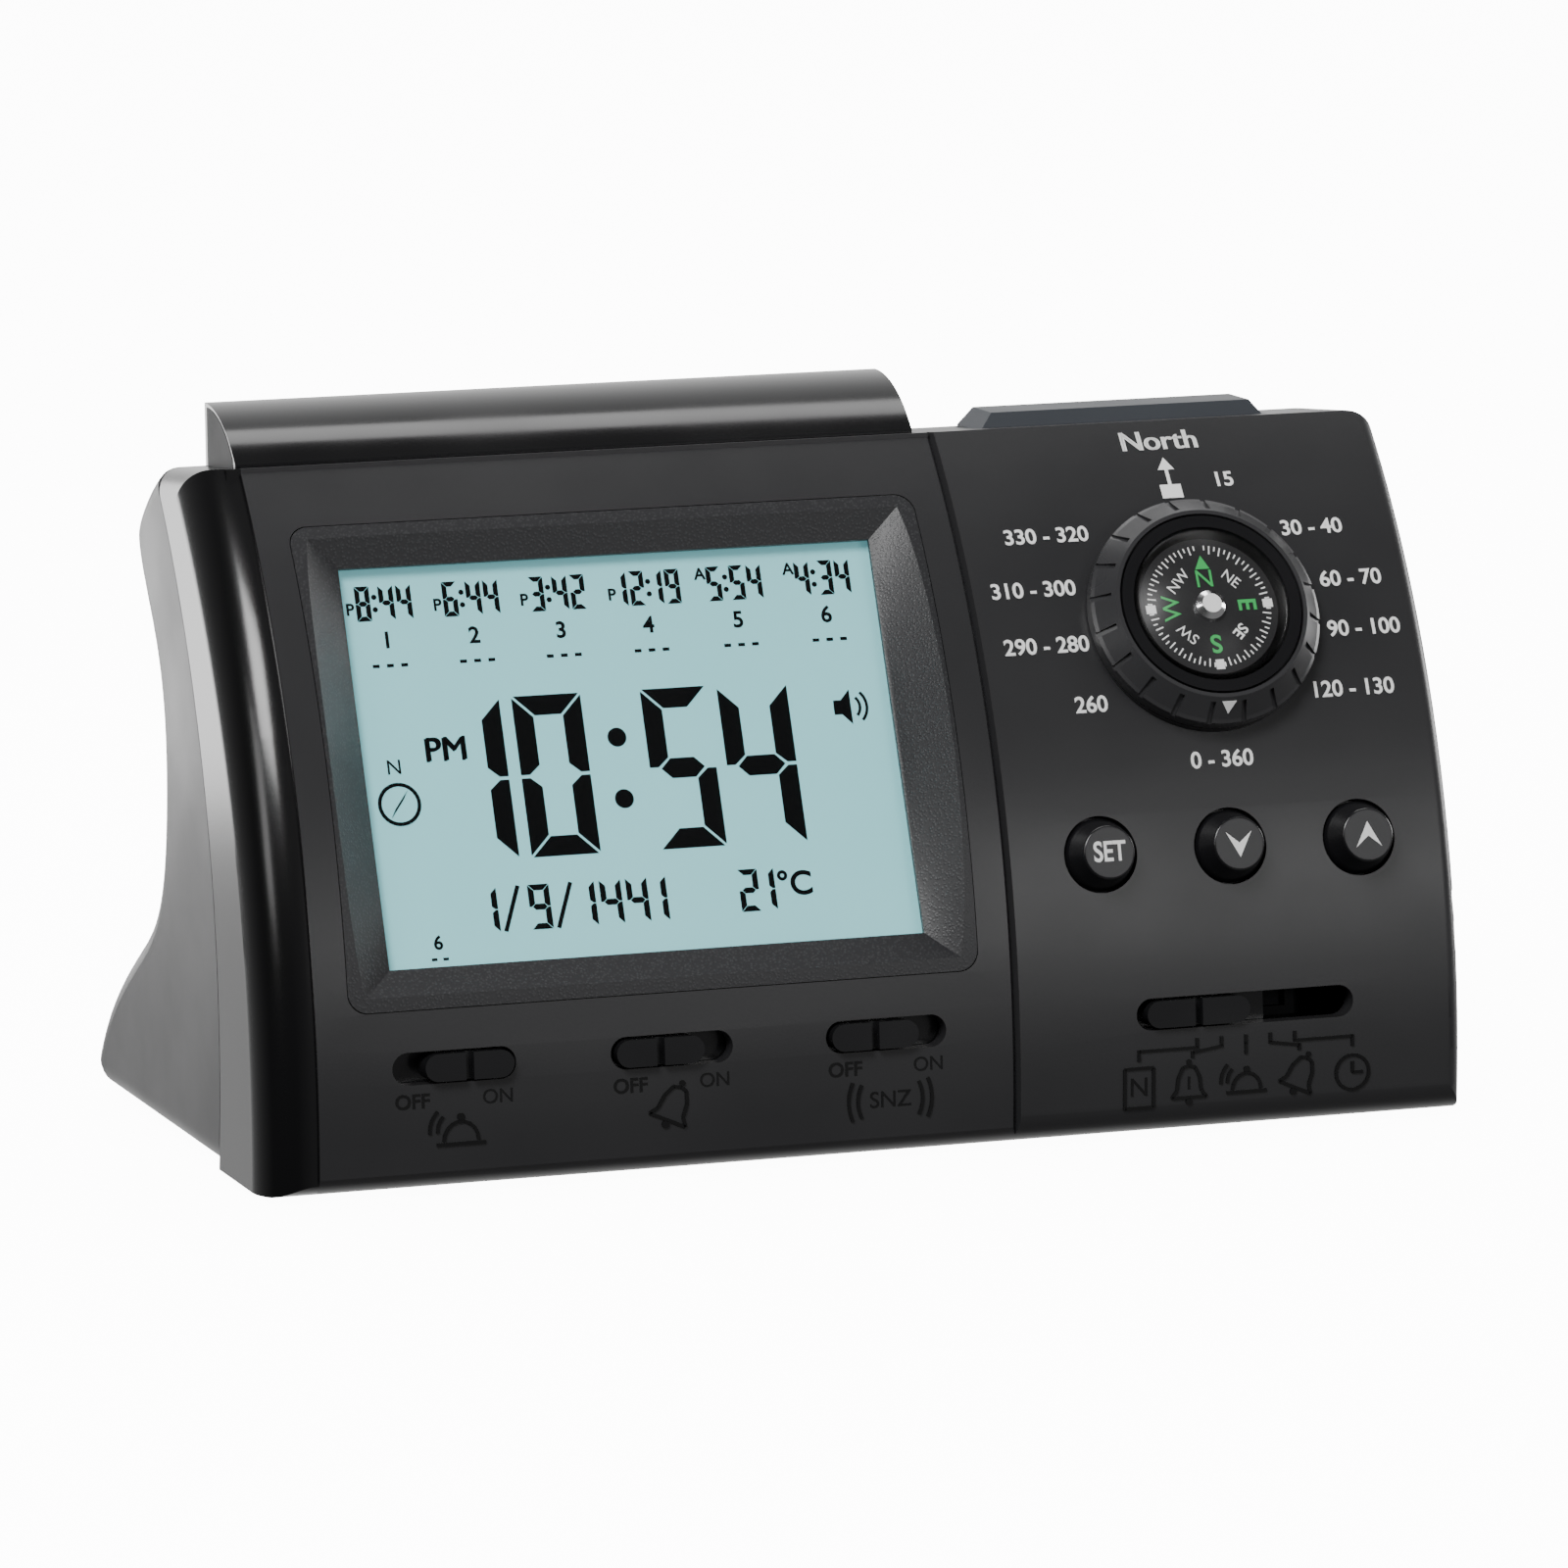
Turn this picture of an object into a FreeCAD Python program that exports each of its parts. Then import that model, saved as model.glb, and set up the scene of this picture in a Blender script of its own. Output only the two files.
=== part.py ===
import FreeCAD, Part
import math
import os

V = FreeCAD.Vector

# Prayer-time alarm clock: a wedge-shaped table clock with a large display, a compass with a
# turning ring, three push buttons, four slide switches and a snooze bar on the top.
# Millimetres. While it is built, X runs to the right, Y to the back from the foot of the
# face, and Z up from the underside of the housing. The last step moves the whole part so
# that its origin is the centre of its box, on the surface it stands on.

# Housing
WIDTH = 155.0            # over both side walls
FACE_RADIUS = 111.0      # the face is part of a cylinder
FOOT_LEAN = 4.8          # degrees that the face leans forward at its foot
FACE_LENGTH = 93.2       # arc length from the foot to the top edge
WALL = 2.2               # moulded wall
DECK_SLOPE = 5.0         # degrees that the top deck falls to the back
SEAM_FOOT_Y = 22.5       # the seam between the shells, at the underside
SEAM_WAIST_Y = 26.6      # the seam at its waist
SEAM_WAIST_Z = 51.3
SEAM_TOP_Y = 46.3        # the seam where it crosses the deck
SEAM_GAP = 0.25          # shadow line between the shells
BASE_DEPTH = 85.0        # foot of the face to the back of the toe
TOE_RADIUS = 3.5
INSTEP_Y = 62.4          # the long toe runs down from here
INSTEP_Z = 21.7
KNUCKLE_Y = 75.5
KNUCKLE_Z = 13.6
BEND_Y = 51.4            # turn from the waist into the toe
BEND_Z = 29.6
WAIST_Y = 46.8
WAIST_Z = 44.0
NAPE_Y = 49.9
NAPE_Z = 61.0
CREST_Y = 57.0           # rearmost point of the upper back
CREST_Z = 76.6
CREST_ROUND = 2.9
CAVITY_STEPS = 14        # points that the inner back curve passes
CAVITY_END = 0.96        # where it stops short of the toe
COLUMN_WIDTH = 6.5       # round column down the left of the face
COLUMN_STEP = 0.4        # the face panel stands proud of the column
RIGHT_EDGE_RADIUS = 1.8
FRONT_FOOT_RADIUS = 4.0
EDGE_RADIUS = 3.4        # long edges beside the deck and the back
CREASE_X = 18.3          # groove between the display side and the compass side
CREASE_DEPTH = 0.6
CREASE_HALF = 0.45
PANEL_PROUD = 0.3        # the compass side stands proud

# Display
BEZEL_WIDTH = 80.4
BEZEL_HEIGHT = 61.0
BEZEL_X = -26.5
BEZEL_T = 53.2           # centre, as arc length up the face
BEZEL_RADIUS = 2.5
BEZEL_RIM = 0.5          # land between the outer edge and the bevel
BEZEL_FLANGE = 1.6
BEZEL_FLANGE_THICKNESS = 1.2
WINDOW_WIDTH = 68.4
WINDOW_HEIGHT = 50.4
WINDOW_LIP = 0.6
DISPLAY_DEPTH = 5.8      # lens front behind the middle of the face
LENS_THICKNESS = 1.0
LENS_OVERLAP = 2.0       # beyond the window on each side
LCD_THICKNESS = 2.4
LCD_OVERLAP = 2.2
BACKLIGHT_THICKNESS = 2.6
STRIP_THICKNESS = 2.2
STACK_GAP = 0.1          # between the stacked sheets
FRAME_WALL = 2.0
BOARD_THICKNESS = 1.6
MAIN_BOARD_GAP = 1.6     # behind the backlight
FRAME_EARS = [(-1, 12.0), (1, 12.0), (-1, -16.0), (1, -16.0)]
EAR_RADIUS = 1.9
BACKLIGHT_SHIFT = 2.0
MAIN_BOARD_LOW = -27.0
MAIN_BOARD_HIGH = 29.0

# Slide switches
SLOT_T = 15.2
SLOT_WIDTH = 4.0
SLOT_LENGTH = 15.6
SLOT_FIRST_X = -53.8
SLOT_PITCH = 27.6
MODE_SLOT_X = 48.5
MODE_SLOT_LENGTH = 28.8
KNOB_LENGTH = 11.2
KNOB_TRAVEL = 3.4
MODE_KNOB_LENGTH = 13.6
MODE_STEP = 3.2
MODE_POSITIONS = 5
KNOB_PROUD = 1.0
KNOB_CLEARANCE = 0.3
KNOB_GROOVE = 1.0
KNOB_FLANGE = 1.4        # hidden flange beyond the slot's edges
KNOB_FLANGE_THICKNESS = 1.0
SHUTTER_MARGIN = 0.4
LEVER_WIDTH = 1.6
LEVER_LENGTH = 3.0
SWITCH_BODY_HEIGHT = 4.4
SWITCH_BODY_DEPTH = 3.6
SWITCH_BODY_MARGIN = 1.6   # body beyond the lever at each end of its travel
SWITCH_BOARD_DEPTH = 11.0
SWITCH_BOARD_HEIGHT = 8.0
SWITCH_BOARD_MARGIN = 7.7
LEVER_DIP = 0.8          # lever end inside the switch body

# Push buttons
BUTTON_T = 35.4
BUTTON_FIRST_X = 30.6
BUTTON_PITCH = 17.15
BUTTON_BASE_RADIUS = 4.5
BUTTON_TOP_RADIUS = 3.3
BUTTON_PROUD = 3.6
BUTTON_CLEARANCE = 0.3
BUTTON_FLANGE = 1.2
BUTTON_STEM_RADIUS = 1.6
FLANGE_RELIEF = 0.2      # room for the curve of the face behind a round flange
KEY_BOARD_DEPTH = 11.0
TACT_SIDE = 6.0
TACT_HEIGHT = 3.6
TACT_BORE = 2.6
STEM_CLEARANCE = 0.3
STEM_DIP = 0.4           # stem end inside the switch

# Snooze bar
BAR_LEFT_X = -71.2
BAR_RIGHT_X = 16.4
BAR_FRONT_Y = 30.9
BAR_BACK_Y = 45.0
BAR_RISE = 7.9           # top of the bar above the deck
BAR_BULGE = 1.7          # how far the top arc stands off its chord
BAR_SKIRT = 2.0          # bar below the deck, in its well
BAR_CLEARANCE = 0.35
BAR_WALL = 1.8
WELL_DEPTH = 4.2
WELL_WALL = 1.2
WELL_FLOOR = 1.5
HOOK_INSET = 9.0         # guide legs, in from the ends of the bar
HOOK_WIDTH = 6.0
HOOK_THICKNESS = 1.8
HOOK_CATCH = 1.0

# Light button
LIGHT_LEFT_X = 26.3
LIGHT_RIGHT_X = 64.6
LIGHT_FRONT_Y = 33.2
LIGHT_BACK_Y = 42.0
LIGHT_RISE = 2.2
LIGHT_CHAMFER = 1.8
LIGHT_SKIRT = 3.4
TOP_BOARD_DROP = 15.5    # below the deck
TOP_BOARD_WIDTH = 11.0
TOP_BOARD_Y = 39.0
TOP_BOARD_LEFT_X = -40.0
TOP_BOARD_RIGHT_X = 52.0

# Compass
COMPASS_X = 48.0
COMPASS_T = 64.7
RING_BASE_RADIUS = 15.0
RING_HEIGHT = 5.0
SEAT_RISE = 0.35         # flat seat below the ring, above the curve of the face
RING_SKIRT = 1.7
RING_GROOVES = 20
RING_GROOVE_WIDTH = 0.7
RING_GROOVE_DEPTH = 0.45
RING_CLEARANCE = 0.3
CUP_RADIUS = 11.0
CUP_FLANGE = 0.7
CUP_FLANGE_THICKNESS = 0.7
CUP_WALL = 0.8
CUP_DEPTH = 4.5          # below the face
LENS_RISE = 2.6          # crown of the compass lens above its rim
LENS_SHELL = 0.8
CARD_RADIUS = 9.0
CARD_THICKNESS = 0.5
CARD_HEIGHT = 3.9        # above the face
HUB_RADIUS = 1.9
HUB_HEIGHT = 1.1
PIVOT_RADIUS = 0.6
PIVOT_CLEARANCE = 0.08
MAGNET_LENGTH = 13.0
MAGNET_WIDTH = 3.0
MAGNET_THICKNESS = 1.0

# Speaker
SPEAKER_X = 44.0
SPEAKER_Z = 46.0
SPEAKER_RADIUS = 18.0
SPEAKER_RIM = 2.2
SPEAKER_DEPTH = 8.0
MAGNET_RADIUS = 9.0
MAGNET_DEPTH = 6.0
GRILLE_SLOT = 1.7
GRILLE_PITCH = 3.6
GRILLE_SLOTS = 9

# Batteries
CELL_RADIUS = 7.1
CELL_LENGTH = 50.0
CELL_FIRST_Y = 39.0
CELL_PITCH = 15.2
TRAY_END = 27.6          # half of the tray's inner length
TRAY_WALL = 1.5
TRAY_GAP = 0.4
DOOR_HALF = 31.0
DOOR_CLEARANCE = 0.3
DOOR_LIP = 1.2
DOOR_RISE = 6.0          # height of the door's back wall

# Screws, feet and leads
SCREW_X = 71.6
LOWER_SCREW_Z = 13.0
UPPER_SCREW_Z = 65.0
SCREW_RADIUS = 1.3
SCREW_HEAD_RADIUS = 2.6
SCREW_HEAD_HEIGHT = 1.8
BOSS_WALL = 1.8
BOSS_GAP = 0.8           # front bosses end this short of the seam
TUBE_WALL = 1.2
HEAD_CLEARANCE = 0.3
BOARD_SCREW_RADIUS = 1.0
BOARD_SCREW_LENGTH = 5.0
BOARD_SCREW_HEAD = 1.9
BOARD_HEAD_HEIGHT = 1.2
POST_RADIUS = 1.8
TOP_POST_RADIUS = 2.6
FOOT_RADIUS = 5.0
FOOT_HEIGHT = 0.8
FOOT_RECESS = 0.5
FOOT_INSET_X = 66.0
FRONT_FOOT_Y = 12.0
REAR_FOOT_Y = 74.0
LEAD_RADIUS = 0.6


def lean(t):
    """Angle of the face from the vertical at arc length t, in radians."""
    return math.radians(-FOOT_LEAN) + t / FACE_RADIUS


def face_point(t, depth=0.0):
    """Y and Z of the face at arc length t, or of a point that far behind it."""
    foot = lean(0.0)
    radius = FACE_RADIUS - depth
    y = FACE_RADIUS * math.cos(foot) - radius * math.cos(lean(t))
    z = radius * math.sin(lean(t)) - FACE_RADIUS * math.sin(foot)
    return y, z


AXIS_Y = FACE_RADIUS * math.cos(lean(0.0))
AXIS_Z = -FACE_RADIUS * math.sin(lean(0.0))
TOP_Y, TOP_Z = face_point(FACE_LENGTH)


def deck_z(y, below=0.0):
    """Height of the deck at a depth from the front, or of a surface that far below it."""
    return TOP_Z - (y - TOP_Y) * math.tan(math.radians(DECK_SLOPE)) - below


def on_face(shape, x, t, height=0.0):
    """Moves a shape from its own frame, with Z out of the face, to its place on the face."""
    y, z = face_point(t, -height)
    turn = FreeCAD.Rotation(V(1, 0, 0), 90.0 - math.degrees(lean(t)))
    moved = shape.copy()
    moved.Placement = FreeCAD.Placement(V(x, y, z), turn).multiply(moved.Placement)
    return moved


def box(x0, x1, y0, y1, z0, z1):
    return Part.makeBox(x1 - x0, y1 - y0, z1 - z0, V(x0, y0, z0))


def cylinder(radius, z0, z1, x=0.0, y=0.0):
    return Part.makeCylinder(radius, z1 - z0, V(x, y, z0))


def cylinder_y(radius, y0, y1, x, z):
    return Part.makeCylinder(radius, y1 - y0, V(x, y0, z), V(0, 1, 0))


def plate(width, height, z0, z1, radius=0.0, x=0.0, y=0.0):
    """A flat plate about a centre, with round corners where a radius is given."""
    made = box(x - width / 2, x + width / 2, y - height / 2, y + height / 2, z0, z1)
    if radius <= 0:
        return made
    upright = [e for e in made.Edges if abs(e.tangentAt(e.FirstParameter).z) > 0.99]
    return made.makeFillet(radius, upright)


def slot_plate(length, width, z0, z1):
    """A plate with half-round ends."""
    return plate(length, width, z0, z1, width / 2 - 0.001)


def segment(a, b):
    return Part.LineSegment(a, b).toShape()


def arc(a, through, b):
    return Part.Arc(a, through, b).toShape()


def face_from(edges):
    return Part.Face(Part.Wire(Part.__sortEdges__(edges)))


def across(edges, x0, x1):
    """Extrudes a closed side profile from x0 to x1."""
    outline = face_from(edges)
    outline.translate(V(x0, 0, 0))
    return outline.extrude(V(x1 - x0, 0, 0))


def side(y, z):
    return V(0, y, z)


def revolve(points, angle=360.0):
    """Turns a closed outline in the XZ plane about the Z axis."""
    wire = Part.makePolygon([V(x, 0, z) for x, z in points + points[:1]])
    return Part.Face(wire).revolve(V(0, 0, 0), V(0, 0, 1), angle)


def joined(shapes):
    whole = shapes[0]
    if len(shapes) > 1:
        whole = whole.multiFuse(shapes[1:])
    return whole.removeSplitter()


def less(shape, cutters):
    return shape.cut(Part.makeCompound(cutters)) if cutters else shape


# Housing outlines

def seam_points(shift=0.0):
    top_y = SEAM_TOP_Y + shift
    return (side(SEAM_FOOT_Y + shift, 0.0), side(SEAM_WAIST_Y + shift, SEAM_WAIST_Z),
            side(top_y, deck_z(top_y)))


def front_prism(inset, shift=0.0):
    """Side outline of the front shell, drawn in by an inset, up to the shifted seam."""
    foot, waist, top = seam_points(shift)
    foot = side(foot.y, inset)
    top = side(top.y, deck_z(top.y, inset))
    ahead = -20.0
    a = side(ahead, inset)
    b = side(ahead, deck_z(ahead, inset))
    return across([segment(a, foot), arc(foot, waist, top), segment(top, b), segment(b, a)],
                  -WIDTH, WIDTH)


def face_ring(inset):
    """The face turned about its axis, with the column, the crease and the right edge."""
    left = -WIDTH / 2 + inset
    right = WIDTH / 2 - inset
    panel_left = -WIDTH / 2 + COLUMN_WIDTH
    r = FACE_RADIUS - inset
    column = COLUMN_WIDTH - inset
    column_r = r - COLUMN_STEP
    inner = FACE_RADIUS / 3
    bow = column * (1 - math.sqrt(0.5))

    def at(x, radius):
        return V(x, AXIS_Y - radius, AXIS_Z)

    edges = [arc(at(left, column_r - column), at(left + bow, column_r - bow), at(panel_left, column_r))]
    if inset > 0:
        edges.append(segment(at(panel_left, column_r), at(right, column_r)))
        edges.append(segment(at(right, column_r), at(right, inner)))
    else:
        proud = r + PANEL_PROUD
        edge = RIGHT_EDGE_RADIUS
        chip = edge * (1 - math.sqrt(0.5))
        corners = [at(panel_left, column_r), at(panel_left, r), at(CREASE_X - CREASE_HALF, r),
                   at(CREASE_X, r - CREASE_DEPTH), at(CREASE_X + CREASE_HALF, proud),
                   at(right - edge, proud)]
        edges += [segment(a, b) for a, b in zip(corners, corners[1:])]
        edges.append(arc(at(right - edge, proud), at(right - chip, proud - chip), at(right, proud - edge)))
        edges.append(segment(at(right, proud - edge), at(right, inner)))
    edges.append(segment(at(right, inner), at(left, inner)))
    edges.append(segment(at(left, inner), at(left, column_r - column)))
    section = face_from(edges)
    section.rotate(V(0, AXIS_Y, AXIS_Z), V(1, 0, 0), 30.0)
    return section.revolve(V(0, AXIS_Y, AXIS_Z), V(1, 0, 0), -130.0)


def foot_corner(radius):
    """What the rounding along the foot of the face takes away."""
    front_y = face_point(radius)[0] - PANEL_PROUD
    corner = box(-WIDTH, WIDTH, front_y - 5.0, front_y + radius, -5.0, radius)
    barrel = Part.makeCylinder(radius, 4 * WIDTH, V(-2 * WIDTH, front_y + radius, radius), V(1, 0, 0))
    return corner.cut(barrel)


def shoulder(radius, hand):
    """What the rounding beside the deck takes away, on the side given by hand."""
    length = 2 * SEAM_TOP_Y
    corner = box(-radius, radius, 0, length, -radius, radius)
    barrel = Part.makeCylinder(radius, length, V(-hand * radius, 0, -radius), V(0, 1, 0))
    cutter = corner.cut(barrel)
    cutter = cutter.common(box(min(0, -hand * radius), max(0, -hand * radius), 0, length, -radius, 0))
    cutter.rotate(V(0, 0, 0), V(1, 0, 0), -DECK_SLOPE)
    cutter.translate(V(hand * WIDTH / 2, 0, deck_z(0)))
    return cutter


def front_outer():
    cutters = [foot_corner(FRONT_FOOT_RADIUS)]
    cutters += [shoulder(EDGE_RADIUS, hand) for hand in (-1, 1)]
    return less(face_ring(0.0).common(front_prism(0.0)), cutters)


def front_cavity():
    return face_ring(WALL).common(front_prism(WALL, 5.0))


def back_curve(start):
    """One smooth curve from the deck over the crest and the hollow waist to the toe."""
    through = [start, side(CREST_Y - CREST_ROUND, CREST_Z + CREST_ROUND), side(CREST_Y, CREST_Z),
               side(NAPE_Y, NAPE_Z), side(WAIST_Y, WAIST_Z), side(BEND_Y, BEND_Z),
               side(INSTEP_Y, INSTEP_Z), side(KNUCKLE_Y, KNUCKLE_Z), side(BASE_DEPTH, TOE_RADIUS)]
    curve = Part.BSplineCurve()
    curve.interpolate(through)
    return curve.toShape()


def back_profile(shift):
    """Side outline of the rear shell, closed along the seam and the underside."""
    foot, waist, top = seam_points(shift)
    toe = side(BASE_DEPTH, TOE_RADIUS)
    heel = side(BASE_DEPTH - TOE_RADIUS, 0)
    bow = TOE_RADIUS * (1 - math.sqrt(0.5))
    curl = side(BASE_DEPTH - bow, bow)
    return [arc(foot, waist, top), back_curve(top), arc(toe, curl, heel), segment(heel, foot)]


def rear_outer():
    half = WIDTH / 2
    body = across(back_profile(SEAM_GAP), -half, half)

    def long_side(edge):
        middle = edge.valueAt((edge.FirstParameter + edge.LastParameter) / 2)
        at_side = abs(abs(middle.x) - half) < 0.01
        at_seam = edge.Length > TOP_Z - WALL and middle.y < WAIST_Y - WALL
        return at_side and not at_seam and middle.z > 0.01

    return body.makeFillet(EDGE_RADIUS, [e for e in body.Edges if long_side(e)])


def inner_back_curve():
    """The back curve drawn in by the wall, through points square to the outer one."""
    outer = back_curve(seam_points(SEAM_GAP)[2]).Curve
    first, last = outer.FirstParameter, outer.LastParameter
    through = []
    for step in range(CAVITY_STEPS + 1):
        at = first + (last - first) * CAVITY_END * step / CAVITY_STEPS
        along = outer.tangent(at)[0]
        through.append(outer.value(at) + V(0, along.z, -along.y) * WALL)
    inner = Part.BSplineCurve()
    inner.interpolate(through)
    return inner.toShape(), through[0], through[-1]


def rear_cavity():
    half = WIDTH / 2 - WALL
    curve, top, heel = inner_back_curve()
    ahead = SEAM_FOOT_Y - 3 * WALL
    rise = side(ahead, deck_z(ahead, WALL))
    corner = side(ahead, WALL)
    low = side(heel.y, WALL)
    edges = [curve, segment(heel, low), segment(low, corner), segment(corner, rise), segment(rise, top)]
    return across(edges, -half, half)


def seam_y(z):
    """Depth of the seam at a height, on the circle through its three points."""
    foot, waist, top = seam_points()
    circle = Part.Circle(foot, waist, top)
    centre = circle.Center
    return centre.y - math.sqrt(circle.Radius ** 2 - (z - centre.z) ** 2)


# Screw bosses, shared by both shells

def screw_places():
    return [(x, z) for z in (LOWER_SCREW_Z, UPPER_SCREW_Z) for x in (-SCREW_X, SCREW_X)]


def screw_seat(z):
    return seam_y(z) + SEAM_GAP + WALL


def front_bosses():
    radius = SCREW_RADIUS + BOSS_WALL
    return [cylinder_y(radius, -BASE_DEPTH, seam_y(z) - BOSS_GAP, x, z) for x, z in screw_places()]


def rear_tubes():
    radius = SCREW_HEAD_RADIUS + HEAD_CLEARANCE + TUBE_WALL
    return [cylinder_y(radius, seam_y(z) + SEAM_GAP, 2 * BASE_DEPTH, x, z) for x, z in screw_places()]


def rear_tube_bores():
    made = []
    for x, z in screw_places():
        made.append(cylinder_y(SCREW_HEAD_RADIUS + HEAD_CLEARANCE, screw_seat(z), BASE_DEPTH, x, z))
        made.append(cylinder_y(SCREW_RADIUS + 0.2, 0, BASE_DEPTH, x, z))
    return made


def shell_screws():
    made = []
    for x, z in screw_places():
        seat = screw_seat(z)
        shank = cylinder_y(SCREW_RADIUS, seat - WALL - 8.0, seat, x, z)
        head = cylinder_y(SCREW_HEAD_RADIUS, seat, seat + SCREW_HEAD_HEIGHT, x, z)
        made.append(joined([shank, head]))
    return made


# Feet

def foot_places():
    return [(x, y) for y in (FRONT_FOOT_Y, REAR_FOOT_Y) for x in (-FOOT_INSET_X, FOOT_INSET_X)]


def foot_recesses():
    return [cylinder(FOOT_RADIUS + 0.2, -FOOT_HEIGHT, FOOT_RECESS, x, y) for x, y in foot_places()]


def rubber_feet():
    return [cylinder(FOOT_RADIUS, -FOOT_HEIGHT, FOOT_RECESS, x, y) for x, y in foot_places()]


# Places of the controls

def slot_x(index):
    return SLOT_FIRST_X + index * SLOT_PITCH


def button_x(index):
    return BUTTON_FIRST_X + index * BUTTON_PITCH


def well(grow, floor):
    """Space of the snooze bar's well under the deck, or its moulded tray when grown."""
    gap = BAR_CLEARANCE + grow
    return box(BAR_LEFT_X - gap, BAR_RIGHT_X + gap, BAR_FRONT_Y - gap, BAR_BACK_Y + gap,
               deck_z(BAR_BACK_Y) - WELL_DEPTH - floor, TOP_Z + WALL)


def under_deck(shape):
    """The part of a shape below the sloping deck plane."""
    slab = box(-WIDTH, WIDTH, -WIDTH, WIDTH, -2 * WIDTH, 0)
    slab.rotate(V(0, 0, 0), V(1, 0, 0), -DECK_SLOPE)
    slab.translate(V(0, 0, deck_z(0)))
    return shape.common(slab)


def hook_places():
    return [BAR_LEFT_X + HOOK_INSET, BAR_RIGHT_X - HOOK_INSET]


def bar_middle():
    return (BAR_LEFT_X + BAR_RIGHT_X) / 2


def bar_y():
    return (BAR_FRONT_Y + BAR_BACK_Y) / 2


def light_x():
    return (LIGHT_LEFT_X + LIGHT_RIGHT_X) / 2


def light_outline(grow, z0, z1):
    return box(LIGHT_LEFT_X - grow, LIGHT_RIGHT_X + grow, LIGHT_FRONT_Y - grow,
               LIGHT_BACK_Y + grow, z0, z1)


def top_board_z():
    return deck_z(TOP_BOARD_Y) - TOP_BOARD_DROP


def top_posts():
    """Where the small board under the deck is screwed on."""
    between = (BAR_RIGHT_X + BAR_CLEARANCE + WELL_WALL + LIGHT_LEFT_X - RING_CLEARANCE) / 2
    return [TOP_BOARD_LEFT_X + 4.0, between]


def switch_posts():
    return [slot_x(0) + SLOT_PITCH / 2, slot_x(1) + SLOT_PITCH / 2, (slot_x(2) + MODE_SLOT_X) / 2]


def key_posts():
    return [button_x(0) + BUTTON_PITCH / 2, button_x(1) + BUTTON_PITCH / 2]


def post(depth):
    """A post from inside the face's wall to a board at a depth."""
    return cylinder(POST_RADIUS, -depth, 0)


def front_shell():
    solid = front_bosses()
    solid += [on_face(post(SWITCH_BOARD_DEPTH), x, SLOT_T) for x in switch_posts()]
    solid += [on_face(post(KEY_BOARD_DEPTH), x, BUTTON_T) for x in key_posts()]
    solid += [cylinder(TOP_POST_RADIUS, top_board_z(), TOP_Z, x, TOP_BOARD_Y) for x in top_posts()]
    solid.append(on_face(cylinder(RING_BASE_RADIUS, -2 * WALL, 0), COMPASS_X, COMPASS_T))
    shell = front_outer().cut(less(front_cavity(), solid))
    tray = under_deck(well(WELL_WALL, WELL_FLOOR))
    seat = on_face(cylinder(RING_BASE_RADIUS, -WALL, SEAT_RISE), COMPASS_X, COMPASS_T)
    shell = joined([shell, tray, seat])
    cutters = [well(0.0, 0.0), light_outline(RING_CLEARANCE, TOP_Z - 3 * WALL, TOP_Z + WALL)]
    cutters.append(on_face(plate(BEZEL_WIDTH + 0.2, BEZEL_HEIGHT + 0.2, -3 * WALL - 4.0, 4 * WALL,
                                 BEZEL_RADIUS), BEZEL_X, BEZEL_T))
    cutters.append(on_face(cylinder(CUP_RADIUS + 0.1, -CUP_DEPTH, CUP_DEPTH), COMPASS_X, COMPASS_T))
    for index in range(3):
        hole = cylinder(BUTTON_BASE_RADIUS + BUTTON_CLEARANCE, -2 * WALL, 2 * WALL)
        cutters.append(on_face(hole, button_x(index), BUTTON_T))
        slot = slot_plate(SLOT_LENGTH, SLOT_WIDTH, -2 * WALL, 2 * WALL)
        cutters.append(on_face(slot, slot_x(index), SLOT_T))
    cutters.append(on_face(slot_plate(MODE_SLOT_LENGTH, SLOT_WIDTH, -2 * WALL, 2 * WALL),
                           MODE_SLOT_X, SLOT_T))
    floor = deck_z(BAR_BACK_Y) - WELL_DEPTH
    for x in hook_places():
        cutters.append(box(x - HOOK_WIDTH / 2 - BAR_CLEARANCE, x + HOOK_WIDTH / 2 + BAR_CLEARANCE,
                           bar_y() - HOOK_THICKNESS / 2 - HOOK_CATCH - BAR_CLEARANCE,
                           bar_y() + HOOK_THICKNESS / 2 + BAR_CLEARANCE, floor - 2 * WELL_FLOOR, floor + 1))
    cutters.append(cylinder(BUTTON_STEM_RADIUS + BAR_CLEARANCE, floor - 2 * WELL_FLOOR, floor + 1,
                            bar_middle(), TOP_BOARD_Y))
    cutters += [cylinder_y(SCREW_RADIUS, seam_y(z) - 8.0, seam_y(z) + 1, x, z) for x, z in screw_places()]
    cutters += foot_recesses()
    cutters += board_screw_bores()
    return less(shell, cutters)


# Display

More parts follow.
